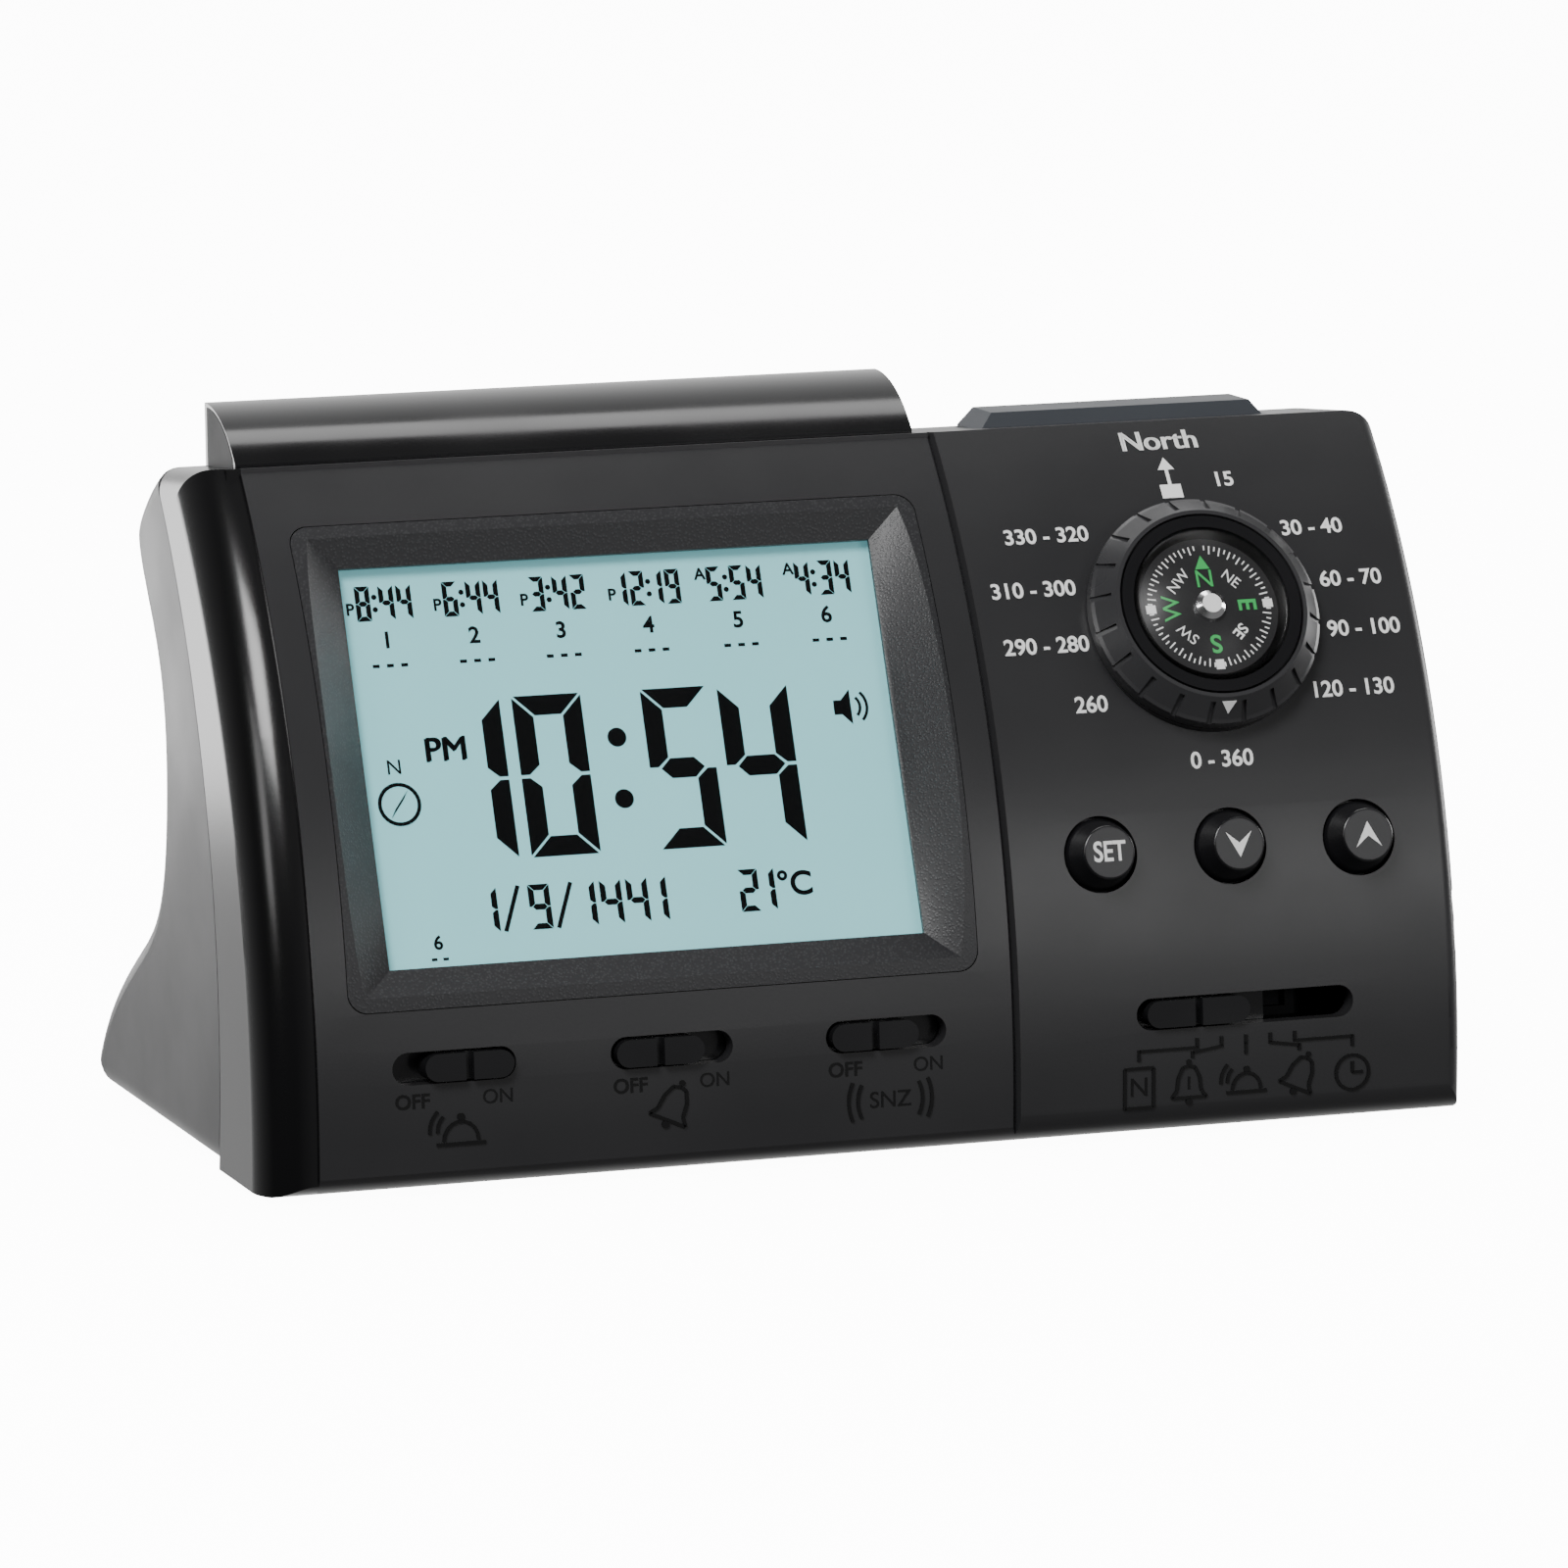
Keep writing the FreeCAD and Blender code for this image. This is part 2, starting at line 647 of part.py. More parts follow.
def bevel_cutter():
    """The hollow inside the bezel: straight bevels from its rim on the face to the window."""
    reach = 3.0
    grow = (BEZEL_WIDTH - 2 * BEZEL_RIM - WINDOW_WIDTH) / 2
    half_t = BEZEL_HEIGHT / 2 - BEZEL_RIM
    half_x = BEZEL_WIDTH / 2 - BEZEL_RIM
    depth = DISPLAY_DEPTH - WINDOW_LIP
    spread = grow * reach / depth

    def rim(x_sign, t_sign):
        y, z = face_point(BEZEL_T + t_sign * (half_t + spread), -reach)
        return V(BEZEL_X + x_sign * (half_x + spread), y, z)

    def rim_middle(x_sign):
        y, z = face_point(BEZEL_T, -reach)
        return V(BEZEL_X + x_sign * (half_x + spread), y, z)

    def window(x_sign, y_sign):
        point = Part.Vertex(x_sign * WINDOW_WIDTH / 2, y_sign * WINDOW_HEIGHT / 2, -depth)
        return on_face(point, BEZEL_X, BEZEL_T).Point

    left = arc(rim(-1, -1), rim_middle(-1), rim(-1, 1))
    right = arc(rim(1, -1), rim_middle(1), rim(1, 1))
    low = segment(rim(-1, -1), rim(1, -1))
    high = segment(rim(-1, 1), rim(1, 1))
    floor_left = segment(window(-1, -1), window(-1, 1))
    floor_right = segment(window(1, -1), window(1, 1))
    floor_low = segment(window(-1, -1), window(1, -1))
    floor_high = segment(window(-1, 1), window(1, 1))
    pairs = [(left, right), (left, floor_left), (right, floor_right), (low, floor_low),
             (high, floor_high), (floor_left, floor_right)]
    skin = Part.makeShell([Part.makeRuledSurface(a, b) for a, b in pairs])
    skin.sewShape()
    solid = Part.makeSolid(skin)
    return solid if solid.Volume > 0 else solid.reversed()


def bezel_back():
    return -DISPLAY_DEPTH - LENS_THICKNESS - STACK_GAP - BEZEL_FLANGE_THICKNESS


def lcd_size():
    return WINDOW_WIDTH + 2 * LCD_OVERLAP, WINDOW_HEIGHT + 2 * LCD_OVERLAP


def face_drum(inset):
    return Part.makeCylinder(FACE_RADIUS - inset, 2 * WIDTH, V(-WIDTH, AXIS_Y, AXIS_Z), V(1, 0, 0))


def display_bezel():
    pocket = [side_length + 0.3 for side_length in lcd_size()]
    tub = plate(BEZEL_WIDTH, BEZEL_HEIGHT, bezel_back(), 4 * WALL, BEZEL_RADIUS)
    tub = on_face(tub, BEZEL_X, BEZEL_T)
    drum = face_drum(0.0)
    behind = face_drum(panel_wall() + STACK_GAP)
    flange = plate(BEZEL_WIDTH + 2 * BEZEL_FLANGE, BEZEL_HEIGHT + 2 * BEZEL_FLANGE, bezel_back(),
                   bezel_back() + BEZEL_FLANGE_THICKNESS)
    body = joined([tub.common(drum), on_face(flange, BEZEL_X, BEZEL_T).common(behind)])
    hollow = plate(pocket[0], pocket[1], bezel_back() - 1, -DISPLAY_DEPTH)
    window = plate(WINDOW_WIDTH, WINDOW_HEIGHT, -DISPLAY_DEPTH - 1, -DISPLAY_DEPTH + WINDOW_LIP + 0.1)
    placed = [on_face(cutter, BEZEL_X, BEZEL_T) for cutter in (hollow, window)]
    return less(body, placed + [bevel_cutter()])


def stack_levels():
    """Front and back of each sheet behind the window, in the display's own frame."""
    lens = (-DISPLAY_DEPTH - LENS_THICKNESS, -DISPLAY_DEPTH)
    lcd = (lens[0] - STACK_GAP - LCD_THICKNESS, lens[0] - STACK_GAP)
    light = (lcd[0] - STACK_GAP - BACKLIGHT_THICKNESS, lcd[0] - STACK_GAP)
    board_front = light[0] - MAIN_BOARD_GAP
    return lens, lcd, light, (board_front - BOARD_THICKNESS, board_front)


def ear_places():
    reach = (lcd_size()[0] + 0.3) / 2 + FRAME_WALL + 1.4
    return [(hand * reach, y) for hand, y in FRAME_EARS]


def display_lens():
    low, high = stack_levels()[0]
    sheet = plate(WINDOW_WIDTH + 2 * LENS_OVERLAP, WINDOW_HEIGHT + 2 * LENS_OVERLAP, low, high)
    return on_face(sheet, BEZEL_X, BEZEL_T)


def lcd_panel():
    low, high = stack_levels()[1]
    width, height = lcd_size()
    return on_face(plate(width, height, low, high), BEZEL_X, BEZEL_T)


def lcd_backlight():
    low, high = stack_levels()[2]
    width, height = lcd_size()
    sheet = plate(width - 1.0, height - 2 * STRIP_THICKNESS - 2 * BACKLIGHT_SHIFT, low, high,
                  0.0, 0.0, BACKLIGHT_SHIFT)
    return on_face(sheet, BEZEL_X, BEZEL_T)


def lcd_strip():
    """Rubber connector that joins the glass to the board along the lower edge."""
    width, height = lcd_size()
    strip = plate(width - 6.0, STRIP_THICKNESS, stack_levels()[3][1], stack_levels()[1][0], 0.0,
                  0.0, -height / 2 + 0.6 + STRIP_THICKNESS / 2)
    return on_face(strip, BEZEL_X, BEZEL_T)


def lcd_frame():
    board_front = stack_levels()[3][1]
    width, height = (length + 0.3 for length in lcd_size())
    ring = plate(width + 2 * FRAME_WALL, height + 2 * FRAME_WALL, board_front, bezel_back())
    ears = [cylinder(EAR_RADIUS, board_front, bezel_back(), x, y) for x, y in ear_places()]
    body = joined([ring] + ears)
    hollow = plate(width, height, board_front - 1, bezel_back() + 1)
    bores = [cylinder(BOARD_SCREW_RADIUS, board_front - 1, bezel_back() + 1, x, y) for x, y in ear_places()]
    return on_face(less(body, [hollow] + bores), BEZEL_X, BEZEL_T)


def main_pcb():
    low, high = stack_levels()[3]
    reach = ear_places()[1][0] + EAR_RADIUS
    board = box(-reach, reach, MAIN_BOARD_LOW, MAIN_BOARD_HIGH, low, high)
    bores = [cylinder(BOARD_SCREW_RADIUS + 0.1, low - 1, high + 1, x, y) for x, y in ear_places()]
    return on_face(less(board, bores), BEZEL_X, BEZEL_T)


def board_parts():
    """Chips and a crystal on the back of the main board."""
    back = stack_levels()[3][0]
    sizes = [(-18.0, 4.0, 12.0, 12.0, 1.6), (6.0, 8.0, 8.0, 10.0, 1.4), (22.0, -4.0, 7.0, 5.0, 1.4),
             (-2.0, -12.0, 6.0, 2.2, 2.2)]
    made = [box(x - w / 2, x + w / 2, y - h / 2, y + h / 2, back - thick, back)
            for x, y, w, h, thick in sizes]
    return [on_face(chip, BEZEL_X, BEZEL_T) for chip in made]


# Slide switches

def panel_wall():
    """From the display panel's outer face to the inner face of the moulding."""
    return WALL + COLUMN_STEP


def slide_knob(length, shutter):
    """Two ribs with a groove between, on a hidden shutter with a lever below."""
    width = SLOT_WIDTH - 2 * KNOB_CLEARANCE
    low = -panel_wall() - KNOB_CLEARANCE - 0.1
    cap = slot_plate(length, width, low, KNOB_PROUD)
    groove = box(-KNOB_GROOVE / 2, KNOB_GROOVE / 2, -width, width, -0.2, KNOB_PROUD + 1)
    flange = plate(shutter, width + 2 * KNOB_FLANGE, low - KNOB_FLANGE_THICKNESS, low)
    tip = -SWITCH_BOARD_DEPTH + SWITCH_BODY_DEPTH - LEVER_DIP
    lever = plate(LEVER_LENGTH, LEVER_WIDTH, tip, low - KNOB_FLANGE_THICKNESS)
    return joined([cap.cut(groove), flange, lever])


def switch_body(travel):
    """Housing of a slide switch, with the slot that its lever runs in."""
    length = LEVER_LENGTH + travel + 2 * SWITCH_BODY_MARGIN
    top = -SWITCH_BOARD_DEPTH + SWITCH_BODY_DEPTH
    body = plate(length, SWITCH_BODY_HEIGHT, -SWITCH_BOARD_DEPTH, top)
    run = plate(LEVER_LENGTH + travel + 2 * KNOB_CLEARANCE, LEVER_WIDTH + 2 * KNOB_CLEARANCE,
                top - LEVER_DIP - KNOB_CLEARANCE, top + 1)
    return body.cut(run)


def mode_travel():
    return MODE_STEP * (MODE_POSITIONS - 1)


def alarm_knobs():
    """The three on-off knobs. The first stands at ON, the others at OFF."""
    rest = [KNOB_TRAVEL / 2, -KNOB_TRAVEL / 2, -KNOB_TRAVEL / 2]
    shutter = SLOT_LENGTH + KNOB_TRAVEL + SHUTTER_MARGIN
    return [on_face(slide_knob(KNOB_LENGTH, shutter), slot_x(i) + rest[i], SLOT_T) for i in range(3)]


def mode_knob():
    shutter = MODE_KNOB_LENGTH + 2 * MODE_STEP
    return on_face(slide_knob(MODE_KNOB_LENGTH, shutter), MODE_SLOT_X - mode_travel() / 2, SLOT_T)


def switch_pcb():
    reach_left = slot_x(0) - SWITCH_BOARD_MARGIN
    reach_right = MODE_SLOT_X + mode_travel() / 2 + SWITCH_BOARD_MARGIN
    board = box(reach_left, reach_right, -SWITCH_BOARD_HEIGHT / 2, SWITCH_BOARD_HEIGHT / 2,
                -SWITCH_BOARD_DEPTH - BOARD_THICKNESS, -SWITCH_BOARD_DEPTH)
    bores = [cylinder(BOARD_SCREW_RADIUS + 0.1, -2 * SWITCH_BOARD_DEPTH, 0, x) for x in switch_posts()]
    return on_face(less(board, bores), 0.0, SLOT_T)


# Push buttons

def tact_switch(bore_radius):
    body = plate(TACT_SIDE, TACT_SIDE, 0, TACT_HEIGHT)
    return body.cut(cylinder(bore_radius, TACT_HEIGHT - TACT_BORE, TACT_HEIGHT + 1))


def push_button():
    """Cone cap on a barrel, a flange behind the face and a stem to its switch."""
    low = -panel_wall() - BUTTON_CLEARANCE - FLANGE_RELIEF
    cone = Part.makeCone(BUTTON_BASE_RADIUS, BUTTON_TOP_RADIUS, BUTTON_PROUD, V(0, 0, 0))
    rim = [e for e in cone.Edges if e.BoundBox.ZMin > BUTTON_PROUD - 0.01]
    cone = cone.makeFillet(0.35, rim)
    barrel = cylinder(BUTTON_BASE_RADIUS, low, 0)
    flange = cylinder(BUTTON_BASE_RADIUS + BUTTON_FLANGE, low - 1.0, low)
    tip = -KEY_BOARD_DEPTH + TACT_HEIGHT - STEM_DIP
    stem = cylinder(BUTTON_STEM_RADIUS, tip, low - 1.0)
    return joined([cone, barrel, flange, stem])


def key_pcb():
    half = BUTTON_PITCH + TACT_SIDE
    board = box(-half, half, -TACT_SIDE, TACT_SIDE, -KEY_BOARD_DEPTH - BOARD_THICKNESS, -KEY_BOARD_DEPTH)
    bores = [cylinder(BOARD_SCREW_RADIUS + 0.1, -2 * KEY_BOARD_DEPTH, 0, x - button_x(1))
             for x in key_posts()]
    return on_face(less(board, bores), button_x(1), BUTTON_T)


def key_switches():
    body = tact_switch(BUTTON_STEM_RADIUS + STEM_CLEARANCE)
    return [on_face(body, button_x(i), BUTTON_T, -KEY_BOARD_DEPTH) for i in range(3)]


# Snooze bar and light button

def bar_section(inset):
    """Side outline of the bar: upright back, arched top and a short upright front."""
    front = BAR_FRONT_Y + inset
    back = BAR_BACK_Y - inset
    low = deck_z(BAR_BACK_Y) - BAR_SKIRT
    a = side(front, low)
    b = side(front, deck_z(BAR_FRONT_Y) + 0.4)
    d = side(back, deck_z(BAR_BACK_Y) + BAR_RISE - inset)
    chord = d.sub(b)
    out = V(0, -chord.z, chord.y).normalize()
    c = (b + d) * 0.5 + out * (BAR_BULGE - inset * 0.2)
    e = side(back, low)
    return [segment(a, b), arc(b, c, d), segment(d, e), segment(e, a)]


def snooze_bar():
    body = across(bar_section(0.0), BAR_LEFT_X, BAR_RIGHT_X)
    body = body.cut(across(bar_section(BAR_WALL), BAR_LEFT_X + BAR_WALL, BAR_RIGHT_X - BAR_WALL)
                    .translated(V(0, 0, -BAR_WALL)))
    low = deck_z(BAR_BACK_Y) - BAR_SKIRT
    under_floor = deck_z(BAR_BACK_Y) - WELL_DEPTH - WELL_FLOOR - BAR_CLEARANCE
    top = deck_z(bar_y()) + BAR_WALL
    parts = [body]
    for x in hook_places():
        y0 = bar_y() - HOOK_THICKNESS / 2
        parts.append(box(x - HOOK_WIDTH / 2, x + HOOK_WIDTH / 2, y0, y0 + HOOK_THICKNESS,
                         under_floor - 1.6, top))
        parts.append(box(x - HOOK_WIDTH / 2, x + HOOK_WIDTH / 2, y0 - HOOK_CATCH, y0,
                         under_floor - 1.6, under_floor))
        parts.append(box(x - HOOK_WIDTH / 2, x + HOOK_WIDTH / 2, BAR_FRONT_Y + BAR_WALL / 2,
                         BAR_BACK_Y - BAR_WALL / 2, low, low + 1.6))
    tip = top_board_z() + TACT_HEIGHT - STEM_DIP
    parts.append(cylinder(BUTTON_STEM_RADIUS, tip, top, bar_middle(), TOP_BOARD_Y))
    parts.append(box(bar_middle() - 3.0, bar_middle() + 3.0, BAR_FRONT_Y + BAR_WALL / 2,
                     BAR_BACK_Y - BAR_WALL / 2, low, low + 1.6))
    return joined(parts)


def light_button():
    """Low plate with bevelled sides and a stem down to its switch."""
    deck = (deck_z(LIGHT_FRONT_Y) + deck_z(LIGHT_BACK_Y)) / 2
    top = deck + LIGHT_RISE
    skirt = light_outline(0.0, deck - LIGHT_SKIRT, deck)
    low_rim = light_outline(0.0, deck - 0.1, deck)
    rim = Part.makePolygon([V(LIGHT_LEFT_X, LIGHT_FRONT_Y, deck), V(LIGHT_RIGHT_X, LIGHT_FRONT_Y, deck),
                            V(LIGHT_RIGHT_X, LIGHT_BACK_Y, deck), V(LIGHT_LEFT_X, LIGHT_BACK_Y, deck),
                            V(LIGHT_LEFT_X, LIGHT_FRONT_Y, deck)])
    x0, x1 = LIGHT_LEFT_X + LIGHT_CHAMFER, LIGHT_RIGHT_X - LIGHT_CHAMFER
    y0, y1 = LIGHT_FRONT_Y + LIGHT_CHAMFER / 2, LIGHT_BACK_Y - LIGHT_CHAMFER / 2
    crown = Part.makePolygon([V(x0, y0, top), V(x1, y0, top), V(x1, y1, top), V(x0, y1, top),
                              V(x0, y0, top)])
    flange = light_outline(1.0, deck - WALL - 2.2, deck - WALL - 1.0)
    tip = top_board_z() + TACT_HEIGHT - STEM_DIP
    stem = cylinder(BUTTON_STEM_RADIUS, tip, deck - WALL - 1.5, light_x(), TOP_BOARD_Y)
    return joined([skirt, low_rim, Part.makeLoft([rim, crown], True, True), flange, stem])


def top_pcb():
    low = top_board_z() - BOARD_THICKNESS
    board = box(TOP_BOARD_LEFT_X, TOP_BOARD_RIGHT_X, TOP_BOARD_Y - TOP_BOARD_WIDTH / 2,
                TOP_BOARD_Y + TOP_BOARD_WIDTH / 2, low, top_board_z())
    bores = [cylinder(BOARD_SCREW_RADIUS + 0.1, low - 1, low + 3, x, TOP_BOARD_Y) for x in top_posts()]
    return less(board, bores)


def top_switches():
    body = tact_switch(BUTTON_STEM_RADIUS + STEM_CLEARANCE)
    return [body.translated(V(x, TOP_BOARD_Y, top_board_z())) for x in (bar_middle(), light_x())]


# Compass

def compass_cup():
    """Deep black cup with a flange that keeps the turning ring on the clock."""
    top = RING_HEIGHT
    wall = CUP_RADIUS - CUP_WALL
    flange = CUP_RADIUS + CUP_FLANGE
    return revolve([(0, -CUP_DEPTH), (CUP_RADIUS, -CUP_DEPTH), (CUP_RADIUS, top - CUP_FLANGE_THICKNESS),
                    (flange, top - CUP_FLANGE_THICKNESS), (flange, top), (wall, top),
                    (wall, -CUP_DEPTH + CUP_WALL), (0, -CUP_DEPTH + CUP_WALL)])


def compass_ring():
    bore = CUP_RADIUS + RING_CLEARANCE
    counter = CUP_RADIUS + CUP_FLANGE + RING_CLEARANCE
    lip = RING_HEIGHT - CUP_FLANGE_THICKNESS - RING_CLEARANCE
    low = SEAT_RISE + RING_CLEARANCE
    ring = revolve([(bore, low), (RING_BASE_RADIUS, low), (RING_BASE_RADIUS, low + RING_SKIRT),
                    (RING_BASE_RADIUS - 0.4, low + RING_SKIRT + 0.3), (counter + 0.5, RING_HEIGHT),
                    (counter, RING_HEIGHT), (counter, lip), (bore, lip)])
    run = RING_BASE_RADIUS - counter
    drop = RING_HEIGHT - low - RING_SKIRT
    cutters = []
    for index in range(RING_GROOVES):
        bar = box(counter + 0.8, RING_BASE_RADIUS + 1, -RING_GROOVE_WIDTH / 2, RING_GROOVE_WIDTH / 2,
                  0, 2 * drop)
        bar.rotate(V(counter, 0, 0), V(0, 1, 0), math.degrees(math.atan2(drop, run)))
        bar.translate(V(0, 0, RING_HEIGHT - RING_GROOVE_DEPTH))
        bar.rotate(V(0, 0, 0), V(0, 0, 1), (index + 0.5) * 360.0 / RING_GROOVES)
        cutters.append(bar)
    return less(ring, cutters)


def compass_lens():
    """Clear dome: a spherical shell on a short wall inside the cup."""
    reach = CUP_RADIUS - CUP_WALL - 0.05
    low = RING_HEIGHT - 0.6

    def cap(radius, rise, z):
        sphere = (radius * radius + rise * rise) / (2 * rise)
        ball = Part.makeSphere(sphere, V(0, 0, z + rise - sphere))
        return ball.common(cylinder(radius, z, z + rise + 1))

    outer = joined([cylinder(reach, low, RING_HEIGHT), cap(reach, LENS_RISE, RING_HEIGHT)])
    inner = joined([cylinder(reach - LENS_SHELL, low - 1, RING_HEIGHT - 0.1),
                    cap(reach - LENS_SHELL, LENS_RISE - 0.6, RING_HEIGHT - 0.1)])
    return outer.cut(inner)


def card_levels():
    low = CARD_HEIGHT - CARD_THICKNESS
    return low, CARD_HEIGHT


def compass_card():
    low, high = card_levels()
    return cylinder(CARD_RADIUS, low, high).cut(cylinder(HUB_RADIUS, low - 1, high + 1))


def compass_hub():
    low, high = card_levels()
    seat = low - MAGNET_THICKNESS
    top = high + HUB_HEIGHT
    crown = HUB_RADIUS * 0.6
    body = revolve([(0, seat), (HUB_RADIUS, seat), (HUB_RADIUS, high), (HUB_RADIUS, top - 0.5),
                    (crown, top), (0, top)])
    return body.cut(cylinder(PIVOT_RADIUS + PIVOT_CLEARANCE, seat - 1, high))


def compass_magnet():
    low = card_levels()[0]
    bar = plate(MAGNET_LENGTH, MAGNET_WIDTH, low - MAGNET_THICKNESS, low, 0.0)
    bar = bar.cut(cylinder(HUB_RADIUS, low - 3, low + 1))
    ring = cylinder(HUB_RADIUS + 1.2, low - MAGNET_THICKNESS, low).cut(
        cylinder(HUB_RADIUS, low - 3, low + 1))
    return joined([bar, ring])


def compass_pivot():
    """Needle post on the cup's floor that the card's hub turns on."""
    floor = -CUP_DEPTH + CUP_WALL
    tip = card_levels()[1] - 0.2
    return revolve([(0, floor), (2.4, floor), (2.4, floor + 1.0), (PIVOT_RADIUS, floor + 1.8),
                    (PIVOT_RADIUS, tip - 0.8), (0.1, tip), (0, tip)])


# Speaker, facing the back

def speaker_seat_y():
    """Inner face of the rear wall where it stands furthest forward."""
    return WAIST_Y - WALL - 0.4


def speaker_place(shape):
    """Moves a shape whose Z points to the back of the clock to the speaker's axis."""
    moved = shape.copy()
    turn = FreeCAD.Rotation(V(1, 0, 0), -90.0)
    moved.Placement = FreeCAD.Placement(V(SPEAKER_X, speaker_seat_y(), SPEAKER_Z), turn).multiply(
        moved.Placement)
    return moved


def clamp_places():
    reach = SPEAKER_RADIUS + 2.6
    return [(reach * math.cos(math.radians(turn)), reach * math.sin(math.radians(turn)))
            for turn in (90.0, 210.0, 330.0)]


def speaker_frame():
    inner = SPEAKER_RADIUS - SPEAKER_RIM
    neck = MAGNET_RADIUS - 1.0
    sheet = 0.8
    return speaker_place(revolve([
        (inner, -sheet), (SPEAKER_RADIUS, -sheet), (SPEAKER_RADIUS, 0), (inner - sheet, 0),
        (neck, -SPEAKER_DEPTH + sheet), (neck - 4.0, -SPEAKER_DEPTH + sheet), (neck - 4.0, -SPEAKER_DEPTH),
        (neck + 0.4, -SPEAKER_DEPTH)]))


def speaker_cone():
    inner = SPEAKER_RADIUS - SPEAKER_RIM - 1.4
    return speaker_place(revolve([
        (0, -1.6), (3.2, -2.6), (4.2, -4.6), (4.6, -4.6), (inner - 2.0, -1.0), (inner - 1.0, -0.4),
        (inner, -0.5), (inner, -0.2), (inner - 1.0, 0), (inner - 2.2, -0.6), (4.6, -4.0),
        (3.6, -2.2), (0, -1.2)]))


def speaker_magnet():
    low = -SPEAKER_DEPTH - MAGNET_DEPTH
    return speaker_place(cylinder(MAGNET_RADIUS, low, -SPEAKER_DEPTH))


def speaker_clamp():
    """Ring behind the speaker's rim with three ears for screws."""
    sheet = 1.4
    ring = cylinder(SPEAKER_RADIUS + 0.6, -0.8 - sheet, -0.8)
    ears = [cylinder(2.6, -0.8 - sheet, -0.8, x, y) for x, y in clamp_places()]
    bores = [cylinder(BOARD_SCREW_RADIUS + 0.1, -9, 9, x, y) for x, y in clamp_places()]
    hollow = cylinder(SPEAKER_RADIUS - 1.2, -9, 9)
    return speaker_place(less(joined([ring] + ears), [hollow] + bores))


def speaker_seat():
    """Ring and three bosses that stand in from the rear wall."""
    reach = 2 * BASE_DEPTH
    ring = cylinder(SPEAKER_RADIUS + 1.0, 0, reach).cut(cylinder(SPEAKER_RADIUS - 1.6, -1, reach + 1))
    bosses = [cylinder(2.4, -0.8, reach, x, y) for x, y in clamp_places()]
    return [speaker_place(shape) for shape in [ring] + bosses]


def grille_slots():
    """Upright slots whose ends lie on a circle."""
    made = []
    middle = (GRILLE_SLOTS - 1) / 2
    for index in range(GRILLE_SLOTS):
        x = (index - middle) * GRILLE_PITCH
        reach = math.sqrt((SPEAKER_RADIUS - 2.4) ** 2 - x * x)
        slot = slot_plate(2 * reach, GRILLE_SLOT, -0.5, BASE_DEPTH)
        slot.rotate(V(0, 0, 0), V(0, 0, 1), 90.0)
        slot.translate(V(x, 0, 0))
        made.append(speaker_place(slot))
    return made


# Batteries

def cell_z():
    return WALL + DOOR_CLEARANCE + CELL_RADIUS


def tray_y():
    low = CELL_FIRST_Y - CELL_RADIUS - TRAY_GAP
    return low, CELL_FIRST_Y + CELL_PITCH + CELL_RADIUS + TRAY_GAP


def tray_top():
    return cell_z() + CELL_RADIUS + TRAY_GAP


def lip_reach():
    return DOOR_HALF + DOOR_LIP


def channel(grow, z0, z1):
    low = tray_y()[0] - TRAY_WALL - grow
    return box(-lip_reach() - grow, lip_reach() + grow, low, 2 * BASE_DEPTH, z0, z1)


def battery_tray():
    y0, y1 = tray_y()
    side_wall = lip_reach() + DOOR_CLEARANCE + TRAY_WALL
    return box(-side_wall, side_wall, y0 - 2 * TRAY_WALL, y1 + TRAY_WALL, 0, tray_top() + TRAY_WALL)


def door_bounds(grow):
    return box(-DOOR_HALF - grow, DOOR_HALF + grow, tray_y()[0] - TRAY_WALL - grow, 2 * BASE_DEPTH,
               -WALL, DOOR_RISE + grow)


def tray_cutters():
    y0, y1 = tray_y()
    inside = box(-TRAY_END, TRAY_END, y0, y1, -WALL, tray_top())
    plate_way = box(-DOOR_HALF - DOOR_CLEARANCE, DOOR_HALF + DOOR_CLEARANCE,
                    y0 - TRAY_WALL - DOOR_CLEARANCE, 2 * BASE_DEPTH, -WALL, WALL + DOOR_CLEARANCE)
    lips = channel(DOOR_CLEARANCE, WALL, WALL + DOOR_CLEARANCE + DOOR_LIP + DOOR_CLEARANCE)
    keep = box(-TRAY_END - TRAY_WALL, TRAY_END + TRAY_WALL, y0 - TRAY_WALL, y1 + TRAY_WALL,
               WALL + DOOR_CLEARANCE, 2 * WALL + 3 * DOOR_LIP)
    heel = door_bounds(DOOR_CLEARANCE).common(box(-WIDTH, WIDTH, y1 + 2 * TRAY_WALL, 2 * BASE_DEPTH,
                                                  -WALL, 2 * BASE_DEPTH))
    return [inside, plate_way, lips.cut(keep), heel]


def battery_door(outer, cavity):
    """Flat cover with a turned-up end at the toe and two hooked rails along its sides."""
    y0, y1 = tray_y()
    body = outer.common(door_bounds(0.0)).cut(cavity)
    rail_out = DOOR_HALF
    rail_in = TRAY_END + TRAY_WALL + DOOR_CLEARANCE
    low = WALL + DOOR_CLEARANCE
    rails = []
    for hand in (-1, 1):
        x0, x1 = sorted((hand * rail_in, hand * rail_out))
        rails.append(box(x0, x1, y0 - TRAY_WALL, BASE_DEPTH - 3 * WALL, WALL / 2, low + DOOR_LIP))
        x0, x1 = sorted((hand * rail_in, hand * lip_reach()))
        rails.append(box(x0, x1, y0 - TRAY_WALL, BASE_DEPTH - 3 * WALL, low, low + DOOR_LIP))
    return joined([body] + rails)


